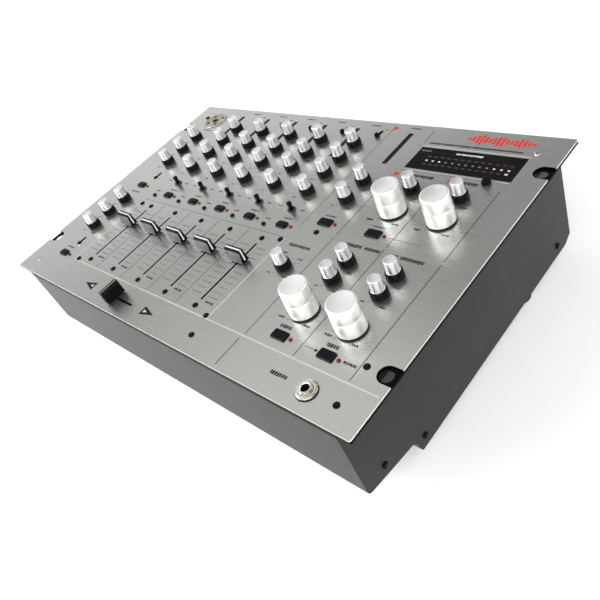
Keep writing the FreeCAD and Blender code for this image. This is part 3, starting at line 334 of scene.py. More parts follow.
# grey-lavender painted reflection for the black front faces of the channel fader caps
FRONT_REFLECTION_PAINT = moulded_black("front_reflection_paint", (0.075, 0.07, 0.09), 0.3, 0.4)
SMALL_METAL = turned_metal("small_cap_metal", (0.86, 0.86, 0.87), 0.33, 17.2 * MM)
LARGE_METAL = turned_metal("large_cap_metal", (1.0, 1.0, 0.98), 0.38, 27.5 * MM)
NICKEL = plated("nickel_plate", (0.72, 0.71, 0.65), 0.2)
AGED_NICKEL = plated("aged_nickel", (0.49, 0.47, 0.4), 0.32)
BRASS = plated("brass_plate", (0.34, 0.29, 0.17), 0.25)
STEEL = plated("bright_steel", (0.62, 0.62, 0.61), 0.25)
INK = printed("dark_ink", (0.008, 0.008, 0.01))
FAINT_INK = printed("grey_ink", (0.13, 0.13, 0.135))
WHITE_INK = printed("white_ink", (0.82, 0.82, 0.8))
WORN_INK = printed("worn_ink", (0.32, 0.31, 0.25))
RED_INK = printed("red_ink", (0.7, 0.035, 0.025))
PALE_INK = printed("pale_ink", (0.58, 0.58, 0.55))
RUBBER = rubber()
BOARD = laminate()
CORE = varnished_core()
RED_LAMP = lamp("red_lamp", (0.24, 0.012, 0.018), (1.0, 0.03, 0.03), 0.05)
DARK_LAMP = lamp("dark_lamp", (0.012, 0.006, 0.006), (0.1, 0.0, 0.0), 0.0)
GREEN_SEGMENT = lamp("green_segment", (0.055, 0.062, 0.05), (0.6, 0.9, 0.5), 0.01)
RED_SEGMENT = lamp("red_segment", (0.09, 0.04, 0.045), (0.9, 0.3, 0.3), 0.01)
DOT = lamp("meter_dot", (0.6, 0.6, 0.57), (0.95, 0.95, 0.9), 0.3)
DIM_DOT = lamp("dim_meter_dot", (0.2, 0.2, 0.17), (0.9, 0.9, 0.8), 0.05)
DIM_SEGMENT = lamp("dim_segment", (0.006, 0.007, 0.006), (0.1, 0.1, 0.1), 0.0)
DIM_RED_SEGMENT = lamp("dim_red_segment", (0.07, 0.006, 0.006), (0.1, 0.0, 0.0), 0.0)
RED_SHELL = moulded_black("red_insulator", (0.35, 0.012, 0.012), 0.3, 0.4)
WHITE_SHELL = moulded_black("white_insulator", (0.7, 0.7, 0.68), 0.3, 0.4)
WINDOW = smoked_window()

# -------- mesh work


def spin(degrees, axis):
    """A turn about an axis of the frame."""
    return Matrix.Rotation(math.radians(degrees), 4, axis)


def scaled(pairs):
    """Pairs of millimetres, in metres."""
    return [(first * MM, second * MM) for first, second in pairs]


def mirrored(half):
    """A closed outline of (y, z) pairs, from the half of it where y is positive."""
    return half + [(-y, z) for y, z in reversed(half)]


def rounded(radius, width, height, steps=6):
    """Points round a rectangle with round corners, in the unit of its sizes."""
    corners = []
    for turn, sx, sy in ((0, 1, 1), (1, -1, 1), (2, -1, -1), (3, 1, -1)):
        x, y = sx * (width / 2 - radius), sy * (height / 2 - radius)
        for i in range(steps + 1):
            angle = math.pi / 2 * (turn + i / steps)
            corners.append((x + radius * math.cos(angle), y + radius * math.sin(angle)))
    return corners


def circle(radius, steps):
    """Points round a circle, in the unit of its radius."""
    angles = [2 * math.pi * i / steps for i in range(steps)]
    return [(radius * math.cos(angle), radius * math.sin(angle)) for angle in angles]


def round_axis(radius, angles):
    """Places at some angles round the axis, in metres, from a radius in millimetres."""
    turns = [math.radians(angle) for angle in angles]
    return [(radius * MM * math.cos(turn), radius * MM * math.sin(turn), 0) for turn in turns]


class Shape:
    """Closed bodies gathered into one mesh, each with one of the mesh's finishes."""

    def __init__(self, place=Matrix.Identity(4)):
        self.mesh = bmesh.new()
        self.place = place

    def corner(self, x, y, z):
        return self.mesh.verts.new(self.place @ Vector((x, y, z)))

    def face(self, corners, finish):
        made = self.mesh.faces.new(corners)
        made.material_index = finish
        return made

    def lathe(self, profile, finish=0, segments=48, ripple=None):
        """A profile of (radius, height) pairs, in millimetres, turned about z.

        A profile that starts and ends on the axis makes a solid, and any other one a ring.
        """
        rings = []
        for radius, height in scaled(profile):
            if radius == 0:
                rings.append([self.corner(0, 0, height)])
                continue
            ring = []
            for i in range(segments):
                angle = 2 * math.pi * i / segments
                reach = radius if ripple is None else radius + ripple(angle, height)
                ring.append(self.corner(reach * math.cos(angle), reach * math.sin(angle), height))
            rings.append(ring)
        pairs = list(zip(rings, rings[1:]))
        if len(rings[0]) > 1:
            pairs.append((rings[-1], rings[0]))
        for lower, upper in pairs:
            for i in range(segments):
                j = (i + 1) % segments
                if len(lower) == 1:
                    self.face((lower[0], upper[i], upper[j]), finish)
                elif len(upper) == 1:
                    self.face((lower[j], lower[i], upper[0]), finish)
                else:
                    self.face((lower[i], lower[j], upper[j], upper[i]), finish)
        return self

    def tube(self, inner, outer, low, high, finish=0, segments=48):
        """A plain ring between two radii and two heights in millimetres, or a rod from 0."""
        profile = [(inner, low), (outer, low), (outer, high), (inner, high)]
        return self.lathe(profile, finish, segments)

    def prism(self, outline, low, high, finish=0, bevel=0.0, both=False):
        """An upright solid on a flat outline, in metres, with its top or both edges bevelled."""
        lower = [self.corner(x, y, low) for x, y in outline]
        upper = [self.corner(x, y, high) for x, y in outline]
        faces = [self.face(lower[::-1], finish), self.face(upper, finish)]
        count = len(outline)
        for i in range(count):
            j = (i + 1) % count
            self.face((lower[i], lower[j], upper[j], upper[i]), finish)
        if bevel:
            edges = list(faces[1].edges) + (list(faces[0].edges) if both else [])
            bmesh.ops.bevel(self.mesh, geom=edges, offset=bevel, segments=3, profile=0.6,
                            affect="EDGES", clamp_overlap=True)
        return self

    def slab(self, x, y, z, finish=0, bevel=0.0):
        """A rectangular solid from its spans along x, y and z, in metres."""
        (x0, x1), (y0, y1), (z0, z1) = x, y, z
        return self.prism([(x0, y0), (x1, y0), (x1, y1), (x0, y1)], z0, z1, finish, bevel)

    def block(self, x, y, z, finish=0, bevel=0.0):
        """The same from millimetres."""
        return self.slab(*scaled((x, y, z)), finish, bevel * MM)

    def at(self, point=(0, 0, 0), turn=0.0):
        """Moves what is added next to a place, turned by degrees about the upright axis."""
        self.place = Matrix.Translation(point) @ spin(turn, "Z")

    def data(self, name, finishes, sharp=32):
        """The finished mesh, smooth except where its faces meet by more than some degrees."""
        bmesh.ops.recalc_face_normals(self.mesh, faces=self.mesh.faces)
        made = bpy.data.meshes.new(name)
        self.mesh.to_mesh(made)
        self.mesh.free()
        for finish in finishes:
            made.materials.append(finish)
        for polygon in made.polygons:
            polygon.use_smooth = True
        made.set_sharp_from_angle(angle=math.radians(sharp))
        return made


# turns a prism on an outline of (y, z) pairs so that it runs along x
SIDEWAYS = spin(90, "X") @ spin(90, "Y")


def add(name, data):
    """A new object in the scene."""
    made = bpy.data.objects.new(name, data)
    bpy.context.scene.collection.objects.link(made)
    return made


def piece(name, mesh, body, point=(0, 0, 0), replaces=(), turn=0.0):
    """Places a mesh as a piece that rides on a body."""
    made = add(name, mesh)
    made.location = point
    made.rotation_euler = (0, 0, math.radians(turn))
    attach(made, body)
    if replaces:
        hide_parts(*replaces)


def control(name, mesh, node, point, turn=0.0):
    """Places a mesh as a piece of a CAD node that moves, in the node's stead."""
    piece(name, mesh, node, point, [node], turn)


def repaint(node, finish):
    """Gives a CAD node its finish."""
    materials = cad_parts[node].data.materials
    materials.clear()
    materials.append(finish)


# -------- camera and light

CAMERA_PLACE = (0.4573, -0.2708, 0.4345)
CAMERA_RIGHT = Vector((0.7004, 0.6185, -0.3565))
CAMERA_UP = Vector((-0.2299, 0.6682, 0.7076))
SENSOR_WIDTH, FOCAL_LENGTH = 36.0, 38.74
LENS_SHIFT = (0.0028, -0.042)
# the middle of the mixer, where most lights point
MIDDLE = (0, 0, 0.1)
# the floor glows more with its distance from the mixer, so that it ends in white
FLOOR_RADIUS = 30.0
FLOOR_GLOW = (0.24, 0.8)
GLOW_REACH = (1.0, 4.0)
# the sky is white at the horizon and darker above, by the height of the line of sight
SKY_FADE = {"From Min": 0.02, "From Max": 0.16, "To Min": 1.0, "To Max": 0.36}


def make_camera():
    """The camera, above the front right corner, tilted as in the photo."""
    data = bpy.data.cameras.new("camera")
    data.sensor_width = SENSOR_WIDTH
    data.lens = FOCAL_LENGTH
    data.shift_x, data.shift_y = LENS_SHIFT
    made = add("camera", data)
    turn = Matrix((CAMERA_RIGHT, CAMERA_UP, CAMERA_RIGHT.cross(CAMERA_UP))).transposed()
    made.matrix_world = Matrix.Translation(CAMERA_PLACE) @ turn.to_4x4()
    bpy.context.scene.camera = made


def soft_light(name, place, target, width, height, power, tint=(1.0, 1.0, 1.0)):
    """A rectangular soft light at a place, turned to a target."""
    data = bpy.data.lights.new(name, "AREA")
    data.shape = "RECTANGLE"
    data.size, data.size_y = width, height
    data.energy = power
    data.color = tint
    made = add(name, data)
    made.location = place
    made.rotation_euler = (Vector(target) - Vector(place)).to_track_quat("-Z", "Y").to_euler()


def make_sky():
    """A pale sky, brightest at the horizon."""
    world = bpy.data.worlds.new("studio")
    world.use_nodes = True
    tree = world.node_tree
    background = tree.nodes["Background"]
    background.inputs["Color"].default_value = (1.0, 1.0, 1.0, 1.0)
    seen = tree.nodes.new("ShaderNodeSeparateXYZ")
    tree.links.new(tree.nodes.new("ShaderNodeTexCoord").outputs["Generated"], seen.inputs[0])
    haze = tree.nodes.new("ShaderNodeMapRange")
    tree.links.new(seen.outputs["Z"], haze.inputs["Value"])
    for name, value in SKY_FADE.items():
        haze.inputs[name].default_value = value
    tree.links.new(haze.outputs["Result"], background.inputs["Strength"])
    bpy.context.scene.world = world


def make_lights():
    """Five soft lights: from the left, above, front left, the camera's side and behind."""
    soft_light("left_light", (-2.0, 1.4, 0.9), MIDDLE, 3.2, 1.0, 8.5, (0.95, 0.98, 1.0))
    soft_light("top_light", (-1.2, 0.3, 2.0), MIDDLE, 1.6, 1.3, 4.5)
    soft_light("side_light", (-1.4, -1.4, 1.2), (-0.5, -0.6, 0), 2.0, 1.6, 45)
    soft_light("key_light", (1.2, -1.4, 1.05), MIDDLE, 2.8, 1.7, 36)
    soft_light("back_light", (1.3, 1.3, 1.2), MIDDLE, 1.6, 1.2, 12)


def make_floor():
    """A wide floor of white paper."""
    paper = Finish("floor_paper", (0.9, 0.9, 0.9), 0.9)
    paper.color(paper.mix(paper.noise(30), (0.9, 0.9, 0.9), (0.92, 0.92, 0.92)))
    paper.put("Emission Color", (1.0, 1.0, 1.0, 1.0))
    away = paper.node("VectorMath", "Value", {0: paper.place}, operation="LENGTH")
    glow = paper.span(away, *FLOOR_GLOW, *GLOW_REACH)
    paper.put("Emission Strength", glow)
    shape = Shape().prism(circle(FLOOR_RADIUS, 96), -0.01, 0.0)
    floor = add("floor", shape.data("floor", [paper.material]))


bpy.context.scene.view_settings.view_transform = "Standard"
make_camera()
make_sky()
make_lights()
make_floor()

# -------- knobs

RIB_COUNT = 24
# the ribs' depth, and the heights they run between
RIB_DEPTH, RIB_FOOT, RIB_HEAD = 0.45 * MM, 1.8 * MM, 5.8 * MM


def ribs(angle, height):
    """How far a small knob's ribbed skirt stands out at an angle and a height."""
    if not RIB_FOOT <= height <= RIB_HEAD:
        return 0.0
    return -RIB_DEPTH * max(0.0, math.cos(RIB_COUNT * angle)) ** 2


def small_skirt_mesh():
    """The ribbed black skirt of a small knob."""
    profile = [
        (3.2, 0.9), (7.0, 0.9), (7.35, 1.25), (7.3, 1.9), (7.1, 5.6), (7.02, 6.1), (6.75, 6.6),
        (6.3, 6.78), (5.9, 6.6), (3.2, 6.5),
    ]
    return Shape().lathe(profile, segments=96, ripple=ribs).data("small_skirt", [BLACK])


def small_cap_mesh():
    """The bright cap of a small knob, with its pointer line."""
    profile = [
        (0, 6.55), (5.75, 6.55), (5.85, 6.9), (5.8, 7.35), (5.42, 7.6), (5.38, 16.9),
        (5.25, 17.35), (4.95, 17.65), (4.5, 17.75), (4.1, 17.6), (0, 17.5),
    ]
    shape = Shape().lathe(profile, segments=64)
    shape.block((-0.2, 0.2), (1.6, 4.9), (17.3, 17.76), 1)
    return shape.data("small_cap", [SMALL_METAL, STEEL])


def large_ring_mesh():
    """The black ring under a large knob."""
    profile = [(3.2, 0.85), (12.1, 0.85), (12.3, 1.05), (12.3, 1.45), (12.1, 1.6), (3.2, 1.6)]
    return Shape().lathe(profile, segments=96).data("large_ring", [BLACK])


def large_cap_mesh():
    """The turned aluminium cap of a large knob: two tiers, a dished end and a white mark."""
    profile = [
        (0, 1.64), (11.8, 1.64), (12.05, 1.95), (12.0, 14.9), (11.85, 15.2), (11.55, 15.35),
        (11.55, 15.6), (11.85, 15.75), (11.88, 16.2), (11.45, 26.9), (11.2, 27.5), (10.7, 27.88),
        (10.2, 27.95), (9.8, 27.8), (0, 27.7),
    ]
    shape = Shape().lathe(profile, segments=128)
    shape.block((-0.6, 0.6), (5.8, 9.6), (27.5, 27.93), 1)
    return shape.data("large_cap", [LARGE_METAL, WHITE_INK])


def make_knobs():
    """Every knob, in the place of its CAD node."""
    skirt, cap = small_skirt_mesh(), small_cap_mesh()
    ring, dome = large_ring_mesh(), large_cap_mesh()
    for knob in KNOBS:
        foot, lower, upper = ("ring", ring, dome) if is_large(knob) else ("skirt", skirt, cap)
        control(f"{knob}_{foot}", lower, knob, on_top(knob))
        control(f"{knob}_cap", upper, knob, on_top(knob))


make_knobs()

# -------- faders

CAP_BODY, CAP_LINE, CAP_BLADE, CAP_FRONT = range(4)
CAP_HALF = 9.6
# the front face, below this height, has a finish of its own: on the channel caps a grey-lavender
# colour painted as the panel's reflection in glossy black plastic
FRONT_FACE_TOP = 13.0


def fader_cap_mesh(name, front, ink, line, ends):
    """A fader's cap: a waisted block on a blade, with a light line over its top.

    The line is twice `line` millimetres wide, and also runs down the given ends.
    """
    half_side = [
        (4.0, 1.45), (4.0, 3.6), (3.4, 6.0), (2.75, 11.0), (2.7, 12.8), (2.65, 14.2), (2.25, 14.9),
        (0.5, 14.55),
    ]
    outline = scaled(mirrored(half_side))
    shape = Shape(SIDEWAYS)
    shape.prism(outline, -CAP_HALF * MM, CAP_HALF * MM, CAP_BODY, 0.35 * MM, True)
    shape.mesh.normal_update()
    for made in shape.mesh.faces:
        if made.normal.y < -0.8 and made.calc_center_median().z < FRONT_FACE_TOP * MM:
            made.material_index = CAP_FRONT
    shape.at()  # upright again
    shape.block((-9.5, 9.5), (-line, line), (14.2, 14.84), CAP_LINE)
    for end in ends:
        shape.block(sorted((end * 9.4, end * 9.73)), (-line, line), (3.5, 14.7), CAP_LINE)
    shape.block((-0.6, 0.6), (-2.0, 2.0), (-9.0, 2.0), CAP_BLADE)
    return shape.data(name, [SOFT_BLACK, ink, STEEL, front])


def make_faders():
    """The five channel faders and the crossfader."""
    # the channel caps' front faces carry the painted reflection
    cap = fader_cap_mesh("fader_cap", FRONT_REFLECTION_PAINT, WHITE_INK, 0.75, (-1, 1))
    for name in CHANNELS:
        node = f"channel_{name}_fader"
        control(f"{node}_cap", cap, node, on_top(node))
    cap = fader_cap_mesh("crossfader_cap", BLACK, WORN_INK, 0.5, ())
    control("crossfader_cap", cap, "crossfader", on_top("crossfader"), turn=90)


make_faders()

# -------- levers and switches

LEVER_SHIFT = 2.0
METER_LEVER_X = 438.7
SELECTOR_SHIFT = 16.2
# the two microphone switches: their column, the rows of their slots' back ends and the travel
MIC_SLIDER_X = 54.3
MIC_SLIDER_ROWS = (173.3, 57.3)
SLIDER_TRAVEL = 7.0


def lever_mesh():
    """A round-ended toggle bat."""
    profile = [
        (0, -3.9), (1.15, -3.9), (1.15, 1.45), (1.75, 2.1), (2.1, 3.0), (2.42, 7.2), (2.45, 8.1),
        (2.25, 8.9), (1.6, 9.4), (0, 9.58),
    ]
    return Shape().lathe(profile, segments=32).data("lever", [BLACK])


def booted_lever_mesh():
    """A short lever in a tapered boot."""
    profile = [
        (0, -3.9), (1.15, -3.9), (1.15, 1.95), (3.7, 1.95), (3.88, 2.2), (3.7, 2.8), (3.0, 3.6),
        (2.2, 5.0), (1.6, 6.4), (1.3, 7.0), (0.9, 7.3), (0, 7.38),
    ]
    return Shape().lathe(profile, segments=32).data("booted_lever", [SOFT_BLACK])


def bush_mesh():
    """The threaded bush and its hexagonal nut round a lever."""
    shape = Shape()
    nut = [(4.1, 0.02), (4.1, 0.95), (3.6, 1.18), (2.5, 1.18), (2.5, 0.02)]
    shape.lathe(nut, segments=6)
    shape.tube(2.52, 3.2, 0.1, 1.19, segments=36)
    shape.tube(0, 2.9, -3.0, -2.0, segments=24)
    return shape.data("bush", [SOFT_BLACK], 25)


def make_levers():
    """The toggle levers, on the bodies that tilt them, and their bushes."""
    bush = bush_mesh()
    levers = {
        "assign_toggles": (lever_mesh(), [x + LEVER_SHIFT for x in CHANNEL_X]),
        "meter_toggle": (booted_lever_mesh(), [METER_LEVER_X]),
    }
    for node, (bat, columns) in levers.items():
        for i, x in enumerate(columns, 1):
            point = in_row(x, node)
            control(f"{node}_lever_{i}", bat, node, point)
            piece(f"{node}_bush_{i}", bush, CHASSIS, point)


def slider_mesh(name, crest):
    """A slide switch's button, with two grooves across its top."""
    half_side = [
        (2.0, -5.4), (2.0, crest / 2), (1.5, crest), (0.9, crest), (0.6, crest - 0.45),
        (0.3, crest),
    ]
    shape = Shape(SIDEWAYS)
    shape.prism(scaled(mirrored(half_side)), -1.48 * MM, 1.48 * MM, 0, 0.08 * MM, True)
    return shape.data(name, [SOFT_BLACK])


def make_sliders():
    """The input selectors behind the gain knobs, and the two microphone switches."""
    tall, low = slider_mesh("selector_button", 3.75), slider_mesh("mic_button", 1.15)
    node = "input_selector_sliders"
    for i, x in enumerate(CHANNEL_X, 1):
        control(f"selector_{i}", tall, node, in_row(x + SELECTOR_SHIFT, node))
    for i, y in enumerate(MIC_SLIDER_ROWS, 1):
        point = panel(MIC_SLIDER_X, y - SLIDER_TRAVEL / 2)
        control(f"mic_slider_{i}", low, "mic_sliders", point)


# -------- buttons and lamps

CUE_SHIFT, CUE_ROW = 7.2, 149.0
# the front microphone's button, whose lamp is off, and the back one's
MIC_BUTTONS = [(49.0, 36.3), (46.0, 154.2)]
CUE_PLACES = [(x + CUE_SHIFT, CUE_ROW) for x in CHANNEL_X] + MIC_BUTTONS
KEY_PLACES = [(328.0, 163.5), (381.0, 163.5), (378.5, 46.7), (425.5, 46.7)]
LAMP_SHIFT = 11.2
PEAK_SHIFT, PEAK_ROW = -13.4, 144.4


def button_mesh(name, length, width, radius):
    """A push button's cap, with a raised matt face inside its rim."""
    shape = Shape()
    rim = scaled(rounded(radius, length, width))
    shape.prism(rim, -3.0 * MM, 1.35 * MM, 0, 0.4 * MM)
    face = scaled(rounded(max(radius - 1.0, 0.3), length - 2.2, width - 2.2))
    shape.prism(face, 1.2 * MM, 1.39 * MM, 1, 0.12 * MM)
    return shape.data(name, [BLACK, SOFT_BLACK])


def lamp_mesh(name, finish, radius, crest):
    """A small domed lamp in its hole, from its radius and its height over the panel."""
    profile = [
        (0, -4.0), (radius, -4.0), (radius, crest * 0.45), (radius * 0.88, crest * 0.75),
        (radius * 0.55, crest * 0.94), (0, crest),
    ]
    return Shape().lathe(profile, segments=24).data(name, [finish])


def fit_lens(name, data, point=(0, 0, 0)):
    """Places a lamp's or a meter's mesh as a piece of the case."""
    piece(name, data, CHASSIS, point, ["meter_and_lamps"])


def make_buttons():
    """The push buttons and the lamps beside them."""
    cue = button_mesh("cue_button", 12.5, 7.6, 2.4)
    key = button_mesh("key_button", 14.0, 8.2, 0.9)
    red = lamp_mesh("red_lamp", RED_LAMP, 1.58, 1.18)
    unlit = lamp_mesh("unlit_lamp", DARK_LAMP, 1.58, 1.18)
    dark = lamp_mesh("dark_lamp", DARK_LAMP, 2.18, 1.98)
    for kind, mesh, places in (("cue", cue, CUE_PLACES), ("key", key, KEY_PLACES)):
        for i, (x, y) in enumerate(places, 1):
            control(f"{kind}_button_{i}", mesh, "push_buttons", panel(x, y))
            lens = unlit if (x, y) == MIC_BUTTONS[0] else red
            fit_lens(f"{kind}_lamp_{i}", lens, panel(x + LAMP_SHIFT, y))
    for i, x in enumerate(CHANNEL_X, 1):
        fit_lens(f"peak_lamp_{i}", dark, panel(x + PEAK_SHIFT, PEAK_ROW))


make_levers()
make_sliders()
make_buttons()

# -------- meter and level strips

METER_X, METER_Y = (354.2, 456.8), (248.7, 279.1)
METER_FIRST, METER_PITCH, METER_COLUMNS = 369.0, 6.6, 13
# the two rows of level segments, and the row of dots between them
SEGMENT_ROWS, SEGMENT_HEIGHT = (256.4, 267.2), 1.5
DOT_ROW = (261.2, 263.0)
# this many dots at each end are bright
BRIGHT_DOTS = 3
STRIP_X = [x - 14.9 for x in CHANNEL_X] + [330.4]
STRIP_Y = (249.5, 296.6)
STRIP_HALF, STRIP_LAMPS = 2.4, 12
LENS_DEPTHS = (-11.0, -0.4)
ON_LENS = (-0.42, -0.37)
# printed ink: the heights of its film, and its colours
FILM = (-0.02, 0.03)
INKS = [INK, FAINT_INK, PALE_INK, RED_INK]
DARK, FAINT, PALE, RED = range(4)
GLASS, GREEN_PART, RED_PART, LIT, HEADING, DIM = range(6)
METER_FINISHES = [WINDOW, GREEN_SEGMENT, RED_SEGMENT, DOT, WHITE_INK, DIM_DOT]
STRIP_FINISHES = [WINDOW, DIM_SEGMENT, DIM_RED_SEGMENT]


def patch(shape, x, y, z, finish):
    """A thin rectangle from spans in panel millimetres."""
    low, high = panel(x[0], y[0], z[0]), panel(x[1], y[1], z[1])
    shape.slab(*zip(low, high), finish)


def words(shape, x, y, seed, z=FILM, finish=DARK):
    """A legend with no letters: short upright strokes of uneven widths and heights."""
    chance = random.Random(seed)
    reach = x[0]
    while reach < x[1] - 0.5:
        stroke = min(chance.uniform(0.9, 2.0), x[1] - reach)
        inset = chance.uniform(0.0, 0.25) * (y[1] - y[0])
        patch(shape, (reach, reach + stroke), (y[0] + inset, y[1]), z, finish)
        reach += stroke + chance.uniform(0.35, 0.7)


def make_meter():
    """The level meter: a smoked window over rows of segments and dots, with a heading."""
    shape = Shape()
    patch(shape, METER_X, METER_Y, LENS_DEPTHS, GLASS)
    columns = [METER_FIRST + METER_PITCH * i for i in range(METER_COLUMNS)]
    for i, x in enumerate(columns):
        color = GREEN_PART if i < METER_COLUMNS * 0.6 else RED_PART
        for y in SEGMENT_ROWS:
            patch(shape, (x - 1.9, x + 1.9), (y, y + SEGMENT_HEIGHT), ON_LENS, color)
        lit = i < BRIGHT_DOTS or i >= METER_COLUMNS - BRIGHT_DOTS
        patch(shape, (x - 1.0, x + 1.0), DOT_ROW, ON_LENS, LIT if lit else DIM)
    last = columns[-1]
    patch(shape, (last - 1.3, last + 1.3), (256.4, 258.2), (ON_LENS[0], ON_LENS[1] + 0.01), LIT)
    words(shape, (392, 418), (273.9, 276.2), 3, ON_LENS, HEADING)
    words(shape, (356, 366), (273.9, 276.0), 4, ON_LENS, DIM)
    fit_lens("level_meter", shape.data("meter", METER_FINISHES))


def make_strips():
    """The upright level strips of the channels and of the aux column, red at their front end."""
    front, back = STRIP_Y
    pitch = (back - front - 2.0) / STRIP_LAMPS
    for i, x in enumerate(STRIP_X, 1):
        shape = Shape()
        patch(shape, (x - STRIP_HALF, x + STRIP_HALF), STRIP_Y, LENS_DEPTHS, 0)
        for k in range(STRIP_LAMPS):
            low = front + 1.4 + pitch * k
            patch(shape, (x - 1.4, x + 1.4), (low, low + pitch - 1.2), ON_LENS, 1 if k else 2)
        fit_lens(f"level_strip_{i}", shape.data(f"strip_{i}", STRIP_FINISHES))


make_meter()
make_strips()

# -------- printing on the panel

# the tick marks beside the faders, and which of them are wider
TICKS = [54.0 + 6.27 * k for k in range(11)]
WIDE_TICKS = (0, 5, 10)
# rules along x: from, to, row, ink and width
RULES_ACROSS = [
    (75.0, 480.0, 34.3, PALE, 1.1), (77.0, 301.0, 136.2, FAINT, 0.5),
    (353.0, 458.0, 281.4, PALE, 0.9), (355.0, 432.0, 246.6, PALE, 0.7),
    (445.5, 457.0, 246.6, PALE, 0.7), (355.0, 432.0, 245.4, FAINT, 0.6),
    (445.5, 457.0, 245.4, FAINT, 0.6), (404.0, 414.0, 47.0, DARK, 0.5),
    (397.0, 428.0, 163.0, FAINT, 0.5),
]
# rules along y: columns, from, to, ink and width
RULES_ALONG = [
    ([74.7], 34.9, 135.0, PALE, 0.9), ([302.8], 34.9, 135.0, PALE, 1.1),
    ([118.4, 164.3, 211.2, 255.9], 36.5, 134.0, FAINT, 0.9),
    ([306.0], 153.0, 304.0, FAINT, 0.7), ([349.0, 401.6, 454.2], 36.0, 150.0, DARK, 0.6),
    ([349.0, 401.6, 454.2], 153.0, 236.0, DARK, 0.6),
    ([351.5], 285.0, 304.0, DARK, 0.6), ([347.5], 4.0, 31.0, DARK, 0.75),
]
# legends: from x, to x, from y and to y; those of a channel count x from its knobs
LEGENDS = [
    (313, 337, 128.6, 132.2), (363, 382, 144.8, 148.4), (384.5, 400, 144.8, 148.4),
    (412, 417, 144.8, 148.4), (420, 441, 144.8, 148.4), (371, 391, 237.4, 241.2),
    (419, 433, 237.4, 241.2), (371.5, 383.5, 53.4, 56.8), (419, 430.5, 53.4, 56.8),
    (395, 411, 16.8, 20.2), (322, 334, 171.2, 172.8), (375, 387, 171.2, 172.8),
    (325, 336, 303.6, 305.4), (40, 55, 262.8, 264.6), (39, 56, 141.6, 143.4),
    (42, 56, 44.6, 46.2), (310, 320, 120.0, 121.6), (334, 340, 117.0, 118.6),
]
TONE_X = (363, 389.5, 411, 436.5)
TONE_LEGENDS = [(x, x + 6.5, y - 1, y + 1) for y in (62.0, 178.5) for x in TONE_X]
CHANNEL_LEGENDS = [
    (-2.0, 9.0, 302.6, 304.4), (1.5, 13.0, 157.0, 158.7), (12.5, 17.5, 170.2, 171.9),
    (-17.5, -12.5, 170.2, 171.9), (-18.0, -11.0, 151.2, 152.8), (18.5, 22.5, 297.9, 299.4),
]
# the triangles at the crossfader's ends: tip, base and which way the base lies from the tip
TRIANGLES = [(127.6, 144.8, 1), (247.4, 230.2, -1)]
TRIANGLE_ROW = 16.4
RED_ARROWS = [(307.5, 302.5), (352.0, 238.6), (407.0, 238.6)]
# the red level pattern at the back: first bar, pitch, width, the row's middle and the heights
BARS_START, BARS_PITCH, BAR_WIDTH, BARS_ROW = 391.0, 4.0, 2.7, 297.8
BAR_HEIGHTS = [4, 7, 11, 14, 10, 6, 9, 13, 12, 7, 5, 8, 11, 9, 5, 3]


def rule(shape, x, y, finish, width):
    """A printed line: one of x and y is a span, and the other a place."""
    spans = [c if isinstance(c, tuple) else (c - width / 2, c + width / 2) for c in (x, y)]
    patch(shape, *spans, FILM, finish)


def arrow(shape, tip, base, y, half, finish, lift=0.0):
    """A printed triangle pointing along x, lifted over other ink if asked."""
    corners = [panel(tip, y), panel(base, y + half), panel(base, y - half)]
    outline = [(c.x, c.y) for c in (corners if base < tip else corners[::-1])]
    top = PANEL_HIGH.z + (FILM[1] + lift) * MM
    shape.prism(outline[::-1], PANEL_HIGH.z + FILM[0] * MM, top, finish)


def fit_print(name, shape):
    """Places a layer of ink on the panel."""
    piece(name, shape.data(name, INKS), CHASSIS)


def print_lines():
    """Frames and dividers."""
    shape = Shape()
    for start, end, y, ink, width in RULES_ACROSS:
        rule(shape, (start, end), y, ink, width)
    for columns, start, end, ink, width in RULES_ALONG:
        for x in columns:
            rule(shape, x, (start, end), ink, width)
    words(shape, (440.5, 452.0), (46.0, 48.4), 6)
    fit_print("panel_lines", shape)


def print_scales():
    """Tick marks beside the faders and round the knobs."""
    shape = Shape()
    for x in CHANNEL_X:
        for k, y in enumerate(TICKS):
            width = 0.7 if k in WIDE_TICKS else 0.5
            rule(shape, (x - 18.5, x - 5.5), y, FAINT, width)
            rule(shape, (x + 5.0, x + 16.5), y, FAINT, width)
        words(shape, (x + 6.5, x + 16.5), (46.8, 49.2), 5)
    fit_print("fader_scales", shape)
    shape = Shape()
    for knob in KNOBS:
        low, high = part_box(knob)
        reach = (high.x - low.x) / 2 / MM + 1.2
        last = 10 if is_large(knob) else 6
        for k in range(last + 1):
            shape.at(on_top(knob), 240 - 300 * k / last)
            length = 2.0 if k in (0, last) else 1.4
            shape.block((reach, reach + length), (-0.2, 0.2), FILM, DARK)
    fit_print("knob_scales", shape)


